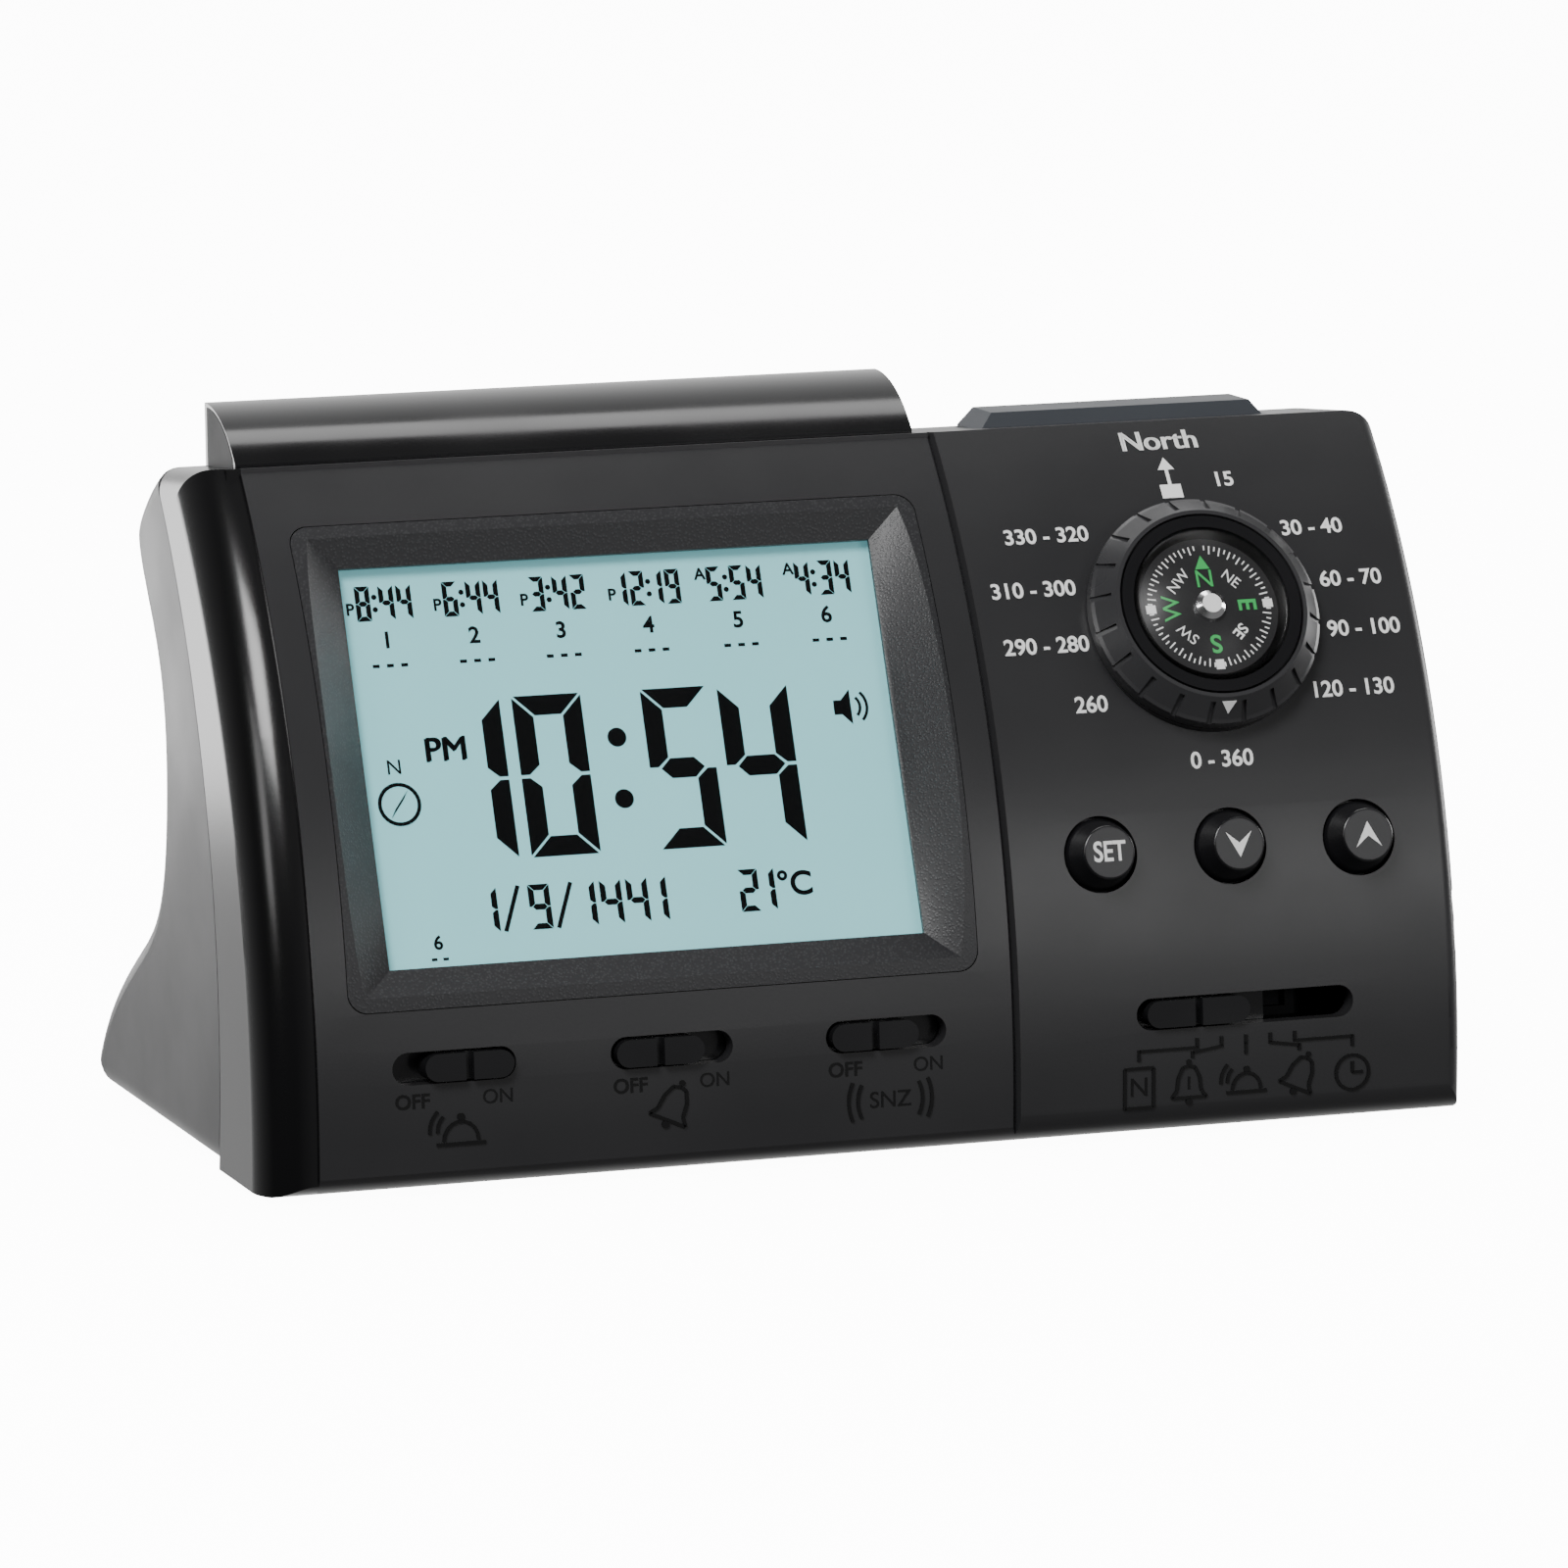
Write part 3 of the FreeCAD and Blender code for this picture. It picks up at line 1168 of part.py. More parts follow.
def battery_cells():
    made = []
    for index in range(2):
        y = CELL_FIRST_Y + index * CELL_PITCH
        hand = 1 if index == 0 else -1
        can = Part.makeCylinder(CELL_RADIUS, CELL_LENGTH - 1.4, V(0, 0, 0), V(hand, 0, 0))
        nub = Part.makeCylinder(2.6, 1.4, V(hand * (CELL_LENGTH - 1.4), 0, 0), V(hand, 0, 0))
        cell = joined([can, nub])
        made.append(cell.translated(V(hand * (TRAY_END - 0.5 - CELL_LENGTH), y, cell_z())))
    return made


def contact_plates():
    made = []
    for index in range(2):
        y = CELL_FIRST_Y + index * CELL_PITCH
        for hand in (-1, 1):
            x0, x1 = sorted((hand * TRAY_END, hand * (TRAY_END - 0.4)))
            made.append(box(x0, x1, y - 5.0, y + 5.0, cell_z() - 5.0, cell_z() + 5.0))
    return made


def contact_springs():
    made = []
    for index in range(2):
        y = CELL_FIRST_Y + index * CELL_PITCH
        hand = -1 if index == 0 else 1
        length = 2 * TRAY_END - 0.5 - CELL_LENGTH - 0.4
        cone = Part.makeCone(4.4, 2.8, length - 0.1, V(hand * (TRAY_END - 0.4), y, cell_z()), V(-hand, 0, 0))
        made.append(cone)
    return made


def rear_shell(outer, cavity):
    shell = outer.cut(less(cavity, rear_tubes() + [battery_tray()] + speaker_seat()))
    tray = under_deck(well(WELL_WALL + 0.15, WELL_FLOOR + 0.15))
    cutters = rear_tube_bores() + tray_cutters() + grille_slots() + [tray] + foot_recesses()
    for x, y in clamp_places():
        cutters.append(speaker_place(cylinder(BOARD_SCREW_RADIUS, -2, 3.5, x, y)))
    return less(shell, cutters)


# Board screws and leads

def board_screw():
    """Small screw with its head's seat at the origin, pointing up Z."""
    return joined([cylinder(BOARD_SCREW_RADIUS, 0, BOARD_SCREW_LENGTH),
                   cylinder(BOARD_SCREW_HEAD, -BOARD_HEAD_HEIGHT, 0)])


def board_screw_bores():
    """Blind holes in the front shell's posts for the board screws."""
    hole = cylinder(BOARD_SCREW_RADIUS, -1, BOARD_SCREW_LENGTH - BOARD_THICKNESS + 0.5)
    made = [on_face(hole, x, SLOT_T, -SWITCH_BOARD_DEPTH) for x in switch_posts()]
    made += [on_face(hole, x, BUTTON_T, -KEY_BOARD_DEPTH) for x in key_posts()]
    made += [hole.translated(V(x, TOP_BOARD_Y, top_board_z())) for x in top_posts()]
    return made


def board_screws():
    screw = board_screw()
    made = [on_face(screw, x, SLOT_T, -SWITCH_BOARD_DEPTH - BOARD_THICKNESS) for x in switch_posts()]
    made += [on_face(screw, x, BUTTON_T, -KEY_BOARD_DEPTH - BOARD_THICKNESS) for x in key_posts()]
    made += [screw.translated(V(x, TOP_BOARD_Y, top_board_z() - BOARD_THICKNESS)) for x in top_posts()]
    back = stack_levels()[3][0]
    made += [on_face(screw.translated(V(x, y, back)), BEZEL_X, BEZEL_T) for x, y in ear_places()]
    return made


def clamp_screws():
    return [speaker_place(board_screw().translated(V(x, y, -2.2))) for x, y in clamp_places()]


def lead(points, radius=LEAD_RADIUS):
    """Round wire along straight runs joined by tangent arcs."""
    edges = []
    start = points[0]
    for before, corner, after in zip(points, points[1:], points[2:]):
        to_before = before.sub(corner)
        to_after = after.sub(corner)
        half_turn = (math.pi - to_before.getAngle(to_after)) / 2
        reach = 0.45 * min(to_before.Length, to_after.Length)
        bend = reach / math.tan(half_turn)
        into = corner + to_before.normalize() * reach
        out = corner + to_after.normalize() * reach
        inward = (into + out) * 0.5 - corner
        middle = corner + inward.normalize() * (bend / math.cos(half_turn) - bend)
        edges += [segment(start, into), arc(into, middle, out)]
        start = out
    edges.append(segment(start, points[-1]))
    path = Part.Wire(edges)
    along = points[1].sub(points[0])
    ring = Part.Wire(Part.makeCircle(radius, points[0], along))
    return path.makePipeShell([ring], True, True)


def board_back_point(x, y, out=0.0):
    return on_face(Part.Vertex(x, y, stack_levels()[3][0] - out), BEZEL_X, BEZEL_T).Point


def battery_leads():
    """Two wires from the top of the battery tray to the main board."""
    made = []
    for index, x in enumerate((-24.0, -19.0)):
        base = V(x, CELL_FIRST_Y - 3.0, tray_top() + TRAY_WALL)
        end = board_back_point(x - BEZEL_X + 2.0 * index, -18.0)
        near = board_back_point(x - BEZEL_X + 2.0 * index, -18.0, 5.0)
        made.append(lead([base, base + V(0, 0, 6.0), near + V(0, 3.0, 3.0), near, end]))
    return made


def speaker_leads():
    """Two wires from the speaker's magnet side to the main board."""
    made = []
    for index, z in enumerate((-3.0, 3.0)):
        base = V(SPEAKER_X - SPEAKER_RADIUS * 0.2, speaker_seat_y() - SPEAKER_DEPTH - MAGNET_DEPTH - 0.5,
                 SPEAKER_Z + z)
        end = board_back_point(34.0, 2.0 + z)
        near = board_back_point(34.0, 2.0 + z, 4.0)
        made.append(lead([base, base + V(-2.0, -3.0, 0), near + V(8.0, 1.5, 0), near, end]))
    return made


def collect():
    """Every node by its name, as a list of separate solids."""
    body = rear_outer()
    cavity = rear_cavity()
    knobs = alarm_knobs()
    keys = [on_face(push_button(), button_x(i), BUTTON_T) for i in range(3)]

    def on_compass(shape):
        return [on_face(shape, COMPASS_X, COMPASS_T)]

    nodes = {
        "front_shell": [front_shell()],
        "rear_shell": [rear_shell(body, cavity)],
        "display_bezel": [display_bezel()],
        "display_lens": [display_lens()],
        "lcd_panel": [lcd_panel()],
        "lcd_backlight": [lcd_backlight()],
        "lcd_strip": [lcd_strip()],
        "lcd_frame": [lcd_frame()],
        "main_pcb": [main_pcb()],
        "board_parts": board_parts(),
        "switch_pcb": [switch_pcb()],
        "alarm_switches": [on_face(switch_body(KNOB_TRAVEL), slot_x(i), SLOT_T) for i in range(3)],
        "mode_switch": [on_face(switch_body(mode_travel()), MODE_SLOT_X, SLOT_T)],
        "chime_knob": [knobs[0]],
        "alarm_knob": [knobs[1]],
        "snooze_knob": [knobs[2]],
        "mode_knob": [mode_knob()],
        "key_pcb": [key_pcb()],
        "key_switches": key_switches(),
        "set_button": [keys[0]],
        "down_button": [keys[1]],
        "up_button": [keys[2]],
        "snooze_bar": [snooze_bar()],
        "light_button": [light_button()],
        "top_pcb": [top_pcb()],
        "top_switches": top_switches(),
        "compass_cup": on_compass(compass_cup()),
        "compass_ring": on_compass(compass_ring()),
        "compass_lens": on_compass(compass_lens()),
        "compass_card": on_compass(compass_card()),
        "compass_hub": on_compass(compass_hub()),
        "compass_magnet": on_compass(compass_magnet()),
        "compass_pivot": on_compass(compass_pivot()),
        "speaker_frame": [speaker_frame()],
        "speaker_cone": [speaker_cone()],
        "speaker_magnet": [speaker_magnet()],
        "speaker_clamp": [speaker_clamp()],
        "battery_door": [battery_door(body, cavity)],
        "battery_cells": battery_cells(),
        "battery_contacts": contact_plates(),
        "battery_springs": contact_springs(),
        "battery_leads": battery_leads(),
        "speaker_leads": speaker_leads(),
        "shell_screws": shell_screws(),
        "board_screws": board_screws(),
        "clamp_screws": clamp_screws(),
        "rubber_feet": rubber_feet(),
    }
    return nodes


def whole_box(nodes):
    bounds = [shape.optimalBoundingBox(False) for solids in nodes.values() for shape in solids]
    low = [min(getattr(b, axis) for b in bounds) for axis in ("XMin", "YMin", "ZMin")]
    high = [max(getattr(b, axis) for b in bounds) for axis in ("XMax", "YMax", "ZMax")]
    return low, high


def write(nodes):
    os.makedirs("parts", exist_ok=True)
    low, high = whole_box(nodes)
    shift = V(-(low[0] + high[0]) / 2, -(low[1] + high[1]) / 2, -low[2])
    for name, solids in nodes.items():
        flat = [piece for shape in solids for piece in shape.Solids]
        shape = flat[0] if len(flat) == 1 else Part.makeCompound(flat)
        shape = shape.translated(shift)
        shape.exportStep("parts/" + name + ".step")
        print(name, len(flat), shape.isValid(), round(shape.Volume, 1))
    print("shift", round(shift.x, 4), round(shift.y, 4), round(shift.z, 4))
    print("box", [round(b - a, 3) for a, b in zip(low, high)])
    y, z = face_point(COMPASS_T)
    print("compass", COMPASS_X + shift.x, round(y + shift.y, 4), round(z + shift.z, 4),
          round(math.degrees(lean(COMPASS_T)), 4))
    print("button lean", round(math.degrees(lean(BUTTON_T)), 4))


write(collect())
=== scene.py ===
import bpy
import math
from mathutils import Matrix, Vector


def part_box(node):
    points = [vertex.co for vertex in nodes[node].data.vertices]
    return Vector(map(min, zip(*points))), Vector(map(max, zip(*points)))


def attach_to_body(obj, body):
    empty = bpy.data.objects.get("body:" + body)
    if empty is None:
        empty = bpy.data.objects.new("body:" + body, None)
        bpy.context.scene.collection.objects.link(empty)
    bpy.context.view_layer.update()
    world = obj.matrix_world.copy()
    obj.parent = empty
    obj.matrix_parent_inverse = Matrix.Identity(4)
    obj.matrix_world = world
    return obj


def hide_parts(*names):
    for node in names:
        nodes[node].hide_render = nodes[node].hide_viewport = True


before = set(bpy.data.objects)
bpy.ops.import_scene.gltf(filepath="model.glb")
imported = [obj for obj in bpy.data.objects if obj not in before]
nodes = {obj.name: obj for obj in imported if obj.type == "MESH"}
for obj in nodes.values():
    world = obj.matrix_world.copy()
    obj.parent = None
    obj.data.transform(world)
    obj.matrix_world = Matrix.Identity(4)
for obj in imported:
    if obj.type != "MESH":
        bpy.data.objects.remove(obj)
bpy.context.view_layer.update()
MM = 0.001

# The face is part of a cylinder along X. Sizes are in millimetres in the part's own frame. A place on
# the face is given by its x and by t, the arc length up from the foot.
AXIS_Y = 68.888
AXIS_Z = 10.088
RADIUS = 111.0
FOOT_LEAN = -4.8           # degrees
PANEL_STEP = 0.3           # the compass side stands this far proud of the display side
COLUMN_EDGE = -70.9        # x where the glossy column ends
DISPLAY = (-26.5, 53.2)    # centre, as x and t
COMPASS = (48.0, 64.7)
SLOT_X = (-53.8, -26.2, 1.4)
MODE_X = 48.5
BUTTON_X = (30.6, 47.75, 64.9)
BUTTON_T = 35.4

# Heights square to the face
GLASS = -6.88              # just in front of the display glass
BUTTON_TOP = 3.6
CARD_TOP = 3.9
HUB_RISE = 1.12            # from the card to the top of its hub
RING_TOP = 5.0
RING_RIM = 2.65            # where the ring's bevel ends
RING_BEVEL = (12.5, 14.6)  # radii of the bevel

# Lettering
LIFT = 0.02                # off its surface
PRINT = 0.04               # thickness of printed shapes
RAISED = 0.15              # thickness of moulded shapes
BOLD = 0.02                # share of the letter size that thickens its strokes
LINE = 0.4                 # width of moulded lines


def lean(t):
    return math.radians(FOOT_LEAN) + t / RADIUS


def face_normal(t):
    return Vector((0, -math.cos(lean(t)), math.sin(lean(t))))


def local_frame(place, right, up, out):
    """Matrix of a local frame from its origin and its three axes."""
    return Matrix((*zip(right, up, out, place), (0, 0, 0, 1)))


def face_matrix(x, t, height=0.0):
    """Local frame on the face: X right, Y up along the face, Z out of it."""
    out = face_normal(t)
    up = Vector((0, math.sin(lean(t)), math.cos(lean(t))))
    axis = Vector((x, AXIS_Y, AXIS_Z))
    return local_frame((axis + out * (RADIUS + height)) * MM, (1, 0, 0), up, out)


# Materials

CLOUD = (0.3, 0.7)         # the part of the noise that varies the gloss


def new_material(name):
    material = bpy.data.materials.new(name)
    material.use_nodes = True
    tree = material.node_tree
    return material, tree, tree.nodes["Principled BSDF"]


def coords(tree, stretch=(1, 1, 1)):
    place = tree.nodes.new("ShaderNodeTexCoord")
    mapping = tree.nodes.new("ShaderNodeMapping")
    mapping.inputs["Scale"].default_value = stretch
    tree.links.new(place.outputs["Object"], mapping.inputs["Vector"])
    return mapping.outputs["Vector"]


def axis_of(tree, output, axis):
    """One coordinate of a texture place, such as Object or Generated."""
    place = tree.nodes.new("ShaderNodeTexCoord")
    parts = tree.nodes.new("ShaderNodeSeparateXYZ")
    tree.links.new(place.outputs[output], parts.inputs["Vector"])
    return parts.outputs[axis]


def noise(tree, vector, scale, detail=3.0):
    cloud = tree.nodes.new("ShaderNodeTexNoise")
    cloud.inputs["Scale"].default_value = scale
    cloud.inputs["Detail"].default_value = detail
    tree.links.new(vector, cloud.inputs["Vector"])
    return cloud.outputs["Fac"]


def ramp(tree, value, low, high, first, last):
    """Maps low to first and high to last."""
    change = tree.nodes.new("ShaderNodeMapRange")
    change.inputs["From Min"].default_value = low
    change.inputs["From Max"].default_value = high
    change.inputs["To Min"].default_value = first
    change.inputs["To Max"].default_value = last
    tree.links.new(value, change.inputs["Value"])
    return change.outputs["Result"]


def mix_colour(tree, factor, first, last):
    mix = tree.nodes.new("ShaderNodeMix")
    mix.data_type = "RGBA"
    for socket, value in ((mix.inputs[6], first), (mix.inputs[7], last)):
        if isinstance(value, tuple):
            socket.default_value = (*value, 1.0)
        else:
            tree.links.new(value, socket)
    tree.links.new(factor, mix.inputs[0])
    return mix.outputs[2]


def bump(tree, shader, height, strength, depth):
    """Fine relief, its depth in millimetres."""
    relief = tree.nodes.new("ShaderNodeBump")
    relief.inputs["Strength"].default_value = strength
    relief.inputs["Distance"].default_value = depth * MM
    tree.links.new(height, relief.inputs["Height"])
    tree.links.new(relief.outputs["Normal"], shader.inputs["Normal"])


def plastic(name, colour, other, rough, grain=2200.0, relief=0.2, spread=0.06, metal=0.0, shine=0.5,
            stretch=(1, 1, 1)):
    """Moulded or printed surface: cloudy colour, uneven gloss and a fine grain."""
    material, tree, shader = new_material(name)
    vector = coords(tree, stretch)
    cloud = noise(tree, vector, 55.0)
    tree.links.new(mix_colour(tree, cloud, colour, other), shader.inputs["Base Color"])
    tree.links.new(ramp(tree, cloud, *CLOUD, rough - spread, rough + spread), shader.inputs["Roughness"])
    shader.inputs["Metallic"].default_value = metal
    shader.inputs["Specular IOR Level"].default_value = shine
    bump(tree, shader, noise(tree, vector, grain, 2.0), relief, 0.04)
    return material


def shell_material():
    """Satin face, with the round column at its left in high gloss."""
    material, tree, shader = new_material("shell_satin")
    vector = coords(tree)
    cloud = noise(tree, vector, 40.0)
    edge = COLUMN_EDGE * MM
    blur = 0.05 * MM
    panel = ramp(tree, axis_of(tree, "Object", "X"), edge - blur, edge + blur, 0.0, 1.0)
    satin = mix_colour(tree, cloud, (0.0175, 0.0175, 0.019), (0.023, 0.023, 0.0245))
    tree.links.new(mix_colour(tree, panel, (0.004, 0.004, 0.0045), satin), shader.inputs["Base Color"])
    blend = tree.nodes.new("ShaderNodeMix")
    tree.links.new(panel, blend.inputs[0])
    blend.inputs[2].default_value = 0.2
    tree.links.new(ramp(tree, cloud, *CLOUD, 0.33, 0.40), blend.inputs[3])
    tree.links.new(blend.outputs[0], shader.inputs["Roughness"])
    bump(tree, shader, noise(tree, vector, 3200.0, 2.0), 0.12, 0.03)
    return material


def speckled(name):
    """Bezel: charcoal with a sprayed fine speckle."""
    material, tree, shader = new_material(name)
    cell = tree.nodes.new("ShaderNodeTexVoronoi")
    cell.inputs["Scale"].default_value = 2600.0
    tree.links.new(coords(tree), cell.inputs["Vector"])
    speck = ramp(tree, cell.outputs["Distance"], 0.18, 0.5, 1.0, 0.0)
    tree.links.new(mix_colour(tree, speck, (0.014, 0.014, 0.016), (0.026, 0.027, 0.029)),
                   shader.inputs["Base Color"])
    shader.inputs["Roughness"].default_value = 0.42
    bump(tree, shader, speck, 0.35, 0.04)
    return material


def clear(name, shine, rough):
    """Clear sheet: light passes, and a small, slightly uneven part of it is reflected."""
    material, tree, shader = new_material(name)
    vector = coords(tree)
    gloss = tree.nodes.new("ShaderNodeBsdfGlossy")
    through = tree.nodes.new("ShaderNodeBsdfTransparent")
    mix = tree.nodes.new("ShaderNodeMixShader")
    smears = noise(tree, vector, 90.0)
    tree.links.new(ramp(tree, smears, *CLOUD, rough, rough * 2), gloss.inputs["Roughness"])
    share = noise(tree, vector, 30.0)
    tree.links.new(ramp(tree, share, *CLOUD, shine * 0.8, shine * 1.2), mix.inputs[0])
    tree.links.new(through.outputs[0], mix.inputs[1])
    tree.links.new(gloss.outputs[0], mix.inputs[2])
    tree.links.new(mix.outputs[0], tree.nodes["Material Output"].inputs["Surface"])
    tree.nodes.remove(shader)
    return material


def key_material():
    """Push buttons: a dull dark grey top, and sides darkened to near black with painted shade."""
    material, tree, shader = new_material("push_key")
    vector = coords(tree)
    cloud = noise(tree, vector, 80.0)
    geometry = tree.nodes.new("ShaderNodeNewGeometry")
    facing = tree.nodes.new("ShaderNodeVectorMath")
    facing.operation = "DOT_PRODUCT"
    facing.inputs[1].default_value = face_normal(BUTTON_T)
    tree.links.new(geometry.outputs["Normal"], facing.inputs[0])
    top = ramp(tree, facing.outputs["Value"], 0.93, 0.97, 0.0, 1.0)
    grey = mix_colour(tree, cloud, (0.022, 0.022, 0.023), (0.03, 0.03, 0.032))
    # Outside the top mask the sides get near black: painted shade on the side walls.
    tree.links.new(mix_colour(tree, top, (0.008, 0.008, 0.009), grey), shader.inputs["Base Color"])
    tree.links.new(ramp(tree, top, 0.0, 1.0, 0.2, 0.42), shader.inputs["Roughness"])
    bump(tree, shader, noise(tree, vector, 3000.0, 2.0), 0.12, 0.03)
    return material


def lcd_material():
    """Pale blue-green display glass with a faint painted glow that lifts its brightness and colour."""
    material = plastic("lcd_teal", (0.30, 0.72, 0.755), (0.33, 0.75, 0.785), 0.35, 900.0, 0.03, 0.05)
    shader = material.node_tree.nodes["Principled BSDF"]
    # The emission is a painted glow standing in for light on the glass, not a lit backlight.
    shader.inputs["Emission Color"].default_value = (0.20, 0.56, 0.61, 1.0)
    shader.inputs["Emission Strength"].default_value = 0.42
    return material


SHELL = shell_material()
BACK = plastic("back_satin", (0.021, 0.021, 0.0225), (0.028, 0.028, 0.03), 0.36, 3200.0, 0.14, 0.04)
GLOSS = plastic("black_gloss", (0.0035, 0.0035, 0.004), (0.006, 0.006, 0.0066), 0.15, 1400.0, 0.02, 0.03)
SPECKLE = speckled("bezel_speckle")
LCD = lcd_material()
INK = plastic("lcd_ink", (0.001, 0.0015, 0.002), (0.002, 0.0025, 0.003), 0.6, 900.0, 0.05, shine=0.05)
WHITE = plastic("white_ink", (0.92, 0.92, 0.91), (0.97, 0.97, 0.96), 0.5, 1800.0, 0.1)
GREEN = plastic("green_ink", (0.02, 0.42, 0.08), (0.03, 0.52, 0.12), 0.5, 1800.0, 0.1)
CARD = plastic("card_black", (0.006, 0.006, 0.007), (0.010, 0.010, 0.011), 0.45, 1500.0, 0.1)
LEGEND = plastic("raised_legend", (0.003, 0.003, 0.0032), (0.005, 0.005, 0.0054), 0.2, 1800.0, 0.1)
BLACKED = plastic("blacked_steel", (0.03, 0.03, 0.032), (0.045, 0.045, 0.047), 0.5, 1200.0, 0.15, shine=0.2)
SLATE = plastic("slate_key", (0.038, 0.043, 0.051), (0.046, 0.052, 0.061), 0.5, 3000.0, 0.12, shine=0.4)
KEY = key_material()
KNOB = plastic("knob_gloss", (0.008, 0.008, 0.009), (0.013, 0.013, 0.014), 0.16, 1500.0, 0.04, 0.04)
CHROME = plastic("chrome", (0.75, 0.75, 0.76), (0.82, 0.82, 0.83), 0.12, 900.0, 0.03, 0.05, metal=1.0)
STEEL = plastic("steel", (0.42, 0.42, 0.43), (0.55, 0.55, 0.56), 0.3, 1200.0, 0.15, 0.08, metal=1.0,
                stretch=(1, 8, 1))
BRASS = plastic("brass", (0.6, 0.42, 0.16), (0.7, 0.5, 0.22), 0.28, 1200.0, 0.1, metal=1.0)
BOARD = plastic("laminate", (0.012, 0.11, 0.035), (0.02, 0.16, 0.05), 0.4, 1500.0)
RESIN = plastic("resin", (0.012, 0.012, 0.013), (0.02, 0.02, 0.021), 0.55, 1800.0, 0.3)
MILK = plastic("milky", (0.72, 0.74, 0.72), (0.8, 0.81, 0.79), 0.45, 1200.0, 0.1)
STRIP = plastic("strip_rubber", (0.16, 0.11, 0.09), (0.3, 0.24, 0.2), 0.7, 1500.0, 0.3)
PAPER = plastic("cone_paper", (0.02, 0.018, 0.016), (0.035, 0.032, 0.028), 0.85, 1600.0, 0.6)
SLEEVE = plastic("cell_sleeve", (0.03, 0.05, 0.11), (0.04, 0.065, 0.14), 0.25, 1200.0, 0.04)
WIRE = plastic("wire", (0.35, 0.02, 0.015), (0.42, 0.03, 0.02), 0.4, 1500.0, 0.1)
RUBBER = plastic("rubber", (0.014, 0.014, 0.014), (0.022, 0.022, 0.022), 0.8, 1500.0, 0.5)
LENS = clear("window_clear", 0.01, 0.06)
DOME = clear("dome_clear", 0.02, 0.22)
RING = plastic("ring_satin", (0.026, 0.026, 0.028), (0.036, 0.036, 0.038), 0.3, 1800.0, 0.06, 0.04)
DARK = plastic("dark_resin", (0.006, 0.006, 0.007), (0.010, 0.010, 0.011), 0.5, 1500.0, shine=0.1)

NODE_FINISH = {
    "front_shell": SHELL, "rear_shell": BACK, "display_bezel": SPECKLE, "display_lens": LENS,
    "lcd_panel": LCD, "lcd_backlight": MILK, "lcd_strip": STRIP, "lcd_frame": MILK, "main_pcb": BOARD,
    "board_parts": RESIN, "switch_pcb": DARK, "alarm_switches": DARK, "mode_switch": DARK,
    "chime_knob": KNOB, "alarm_knob": KNOB, "snooze_knob": KNOB, "mode_knob": KNOB, "key_pcb": BOARD,
    "key_switches": RESIN, "set_button": KEY, "down_button": KEY, "up_button": KEY, "snooze_bar": GLOSS,
    "light_button": SLATE, "top_pcb": BOARD, "top_switches": RESIN, "compass_cup": DARK,
    "compass_ring": RING, "compass_lens": DOME, "compass_card": CARD, "compass_hub": CHROME,
    "compass_magnet": STEEL, "compass_pivot": BRASS, "speaker_frame": STEEL, "speaker_cone": PAPER,
    "speaker_magnet": STEEL, "speaker_clamp": BLACKED, "battery_door": BACK, "battery_cells": SLEEVE,
    "battery_contacts": STEEL, "battery_springs": STEEL, "battery_leads": WIRE, "speaker_leads": WIRE,
    "shell_screws": STEEL, "board_screws": STEEL, "clamp_screws": BLACKED, "rubber_feet": RUBBER,
}

# What lettering is made of, with the body and the slot that it belongs to
ON_GLASS = (INK, "housing", "lcd")
ON_FACE = (WHITE, "housing", "shell")
MOULDED = (LEGEND, "housing", "shell")
ON_CARD = (WHITE, "compass_card", "card")
GREEN_ON_CARD = (GREEN, "compass_card", "card")
ON_HUB = (WHITE, "compass_card", "hub")
ON_RING = (WHITE, "compass_ring", "gloss")
# The dark sheet on the bar's left end is painted shade over the end's bright gloss.
BAR_END_SHADE = (DARK, "snooze_bar", "gloss")


def dress_nodes():
    for name, material in NODE_FINISH.items():
        slots = nodes[name].data.materials
        for index in range(len(slots)):
            slots[index] = material
        if len(slots) == 0:
            slots.append(material)


# Outlines, as lists of points u, v in millimetres in a local frame

def polar(radius, degrees, u=0.0, v=0.0):
    angle = math.radians(degrees)
    return u + radius * math.cos(angle), v + radius * math.sin(angle)


def disc(u, v, radius, steps=24):
    return [polar(radius, 360 * i / steps, u, v) for i in range(steps)]


def stroke(points, width):
    """Outlines of a polyline drawn with square ends."""
    made = []
    for (a, b), (c, d) in zip(points, points[1:]):
        length = math.hypot(c - a, d - b)
        across, along = (b - d) / length * width / 2, (c - a) / length * width / 2
        made.append([(a - across, b - along), (c - across, d - along),
                     (c + across, d + along), (a + across, b + along)])
    return made


def arc(u, v, radius, width, start=0.0, end=360.0, steps=28):
    return stroke([polar(radius, start + (end - start) * i / steps, u, v) for i in range(steps + 1)], width)


def spoke(degrees, inner, outer, width):
    """Line outward from the centre, at an angle clockwise from the top."""
    return stroke([polar(inner, 90 - degrees), polar(outer, 90 - degrees)], width)


def mirrored(outlines):
    return [[(-u, v) for u, v in reversed(outline)] for outline in outlines]


def placed(points, u, v, size, tilt=0.0):
    """The points scaled, tilted clockwise by degrees and moved to u, v."""
    c, s = math.cos(math.radians(tilt)) * size, math.sin(math.radians(tilt)) * size
    return [(u + x * c + y * s, v - x * s + y * c) for x, y in points]


# Segments of a digit: a at the top, then clockwise to f, and g in the middle
SEGMENTS = {"0": "abcdef", "1": "bc", "2": "abged", "3": "abgcd", "4": "fgbc", "5": "afgcd",
            "6": "afgedc", "7": "abc", "8": "abcdefg", "9": "abcdfg"}


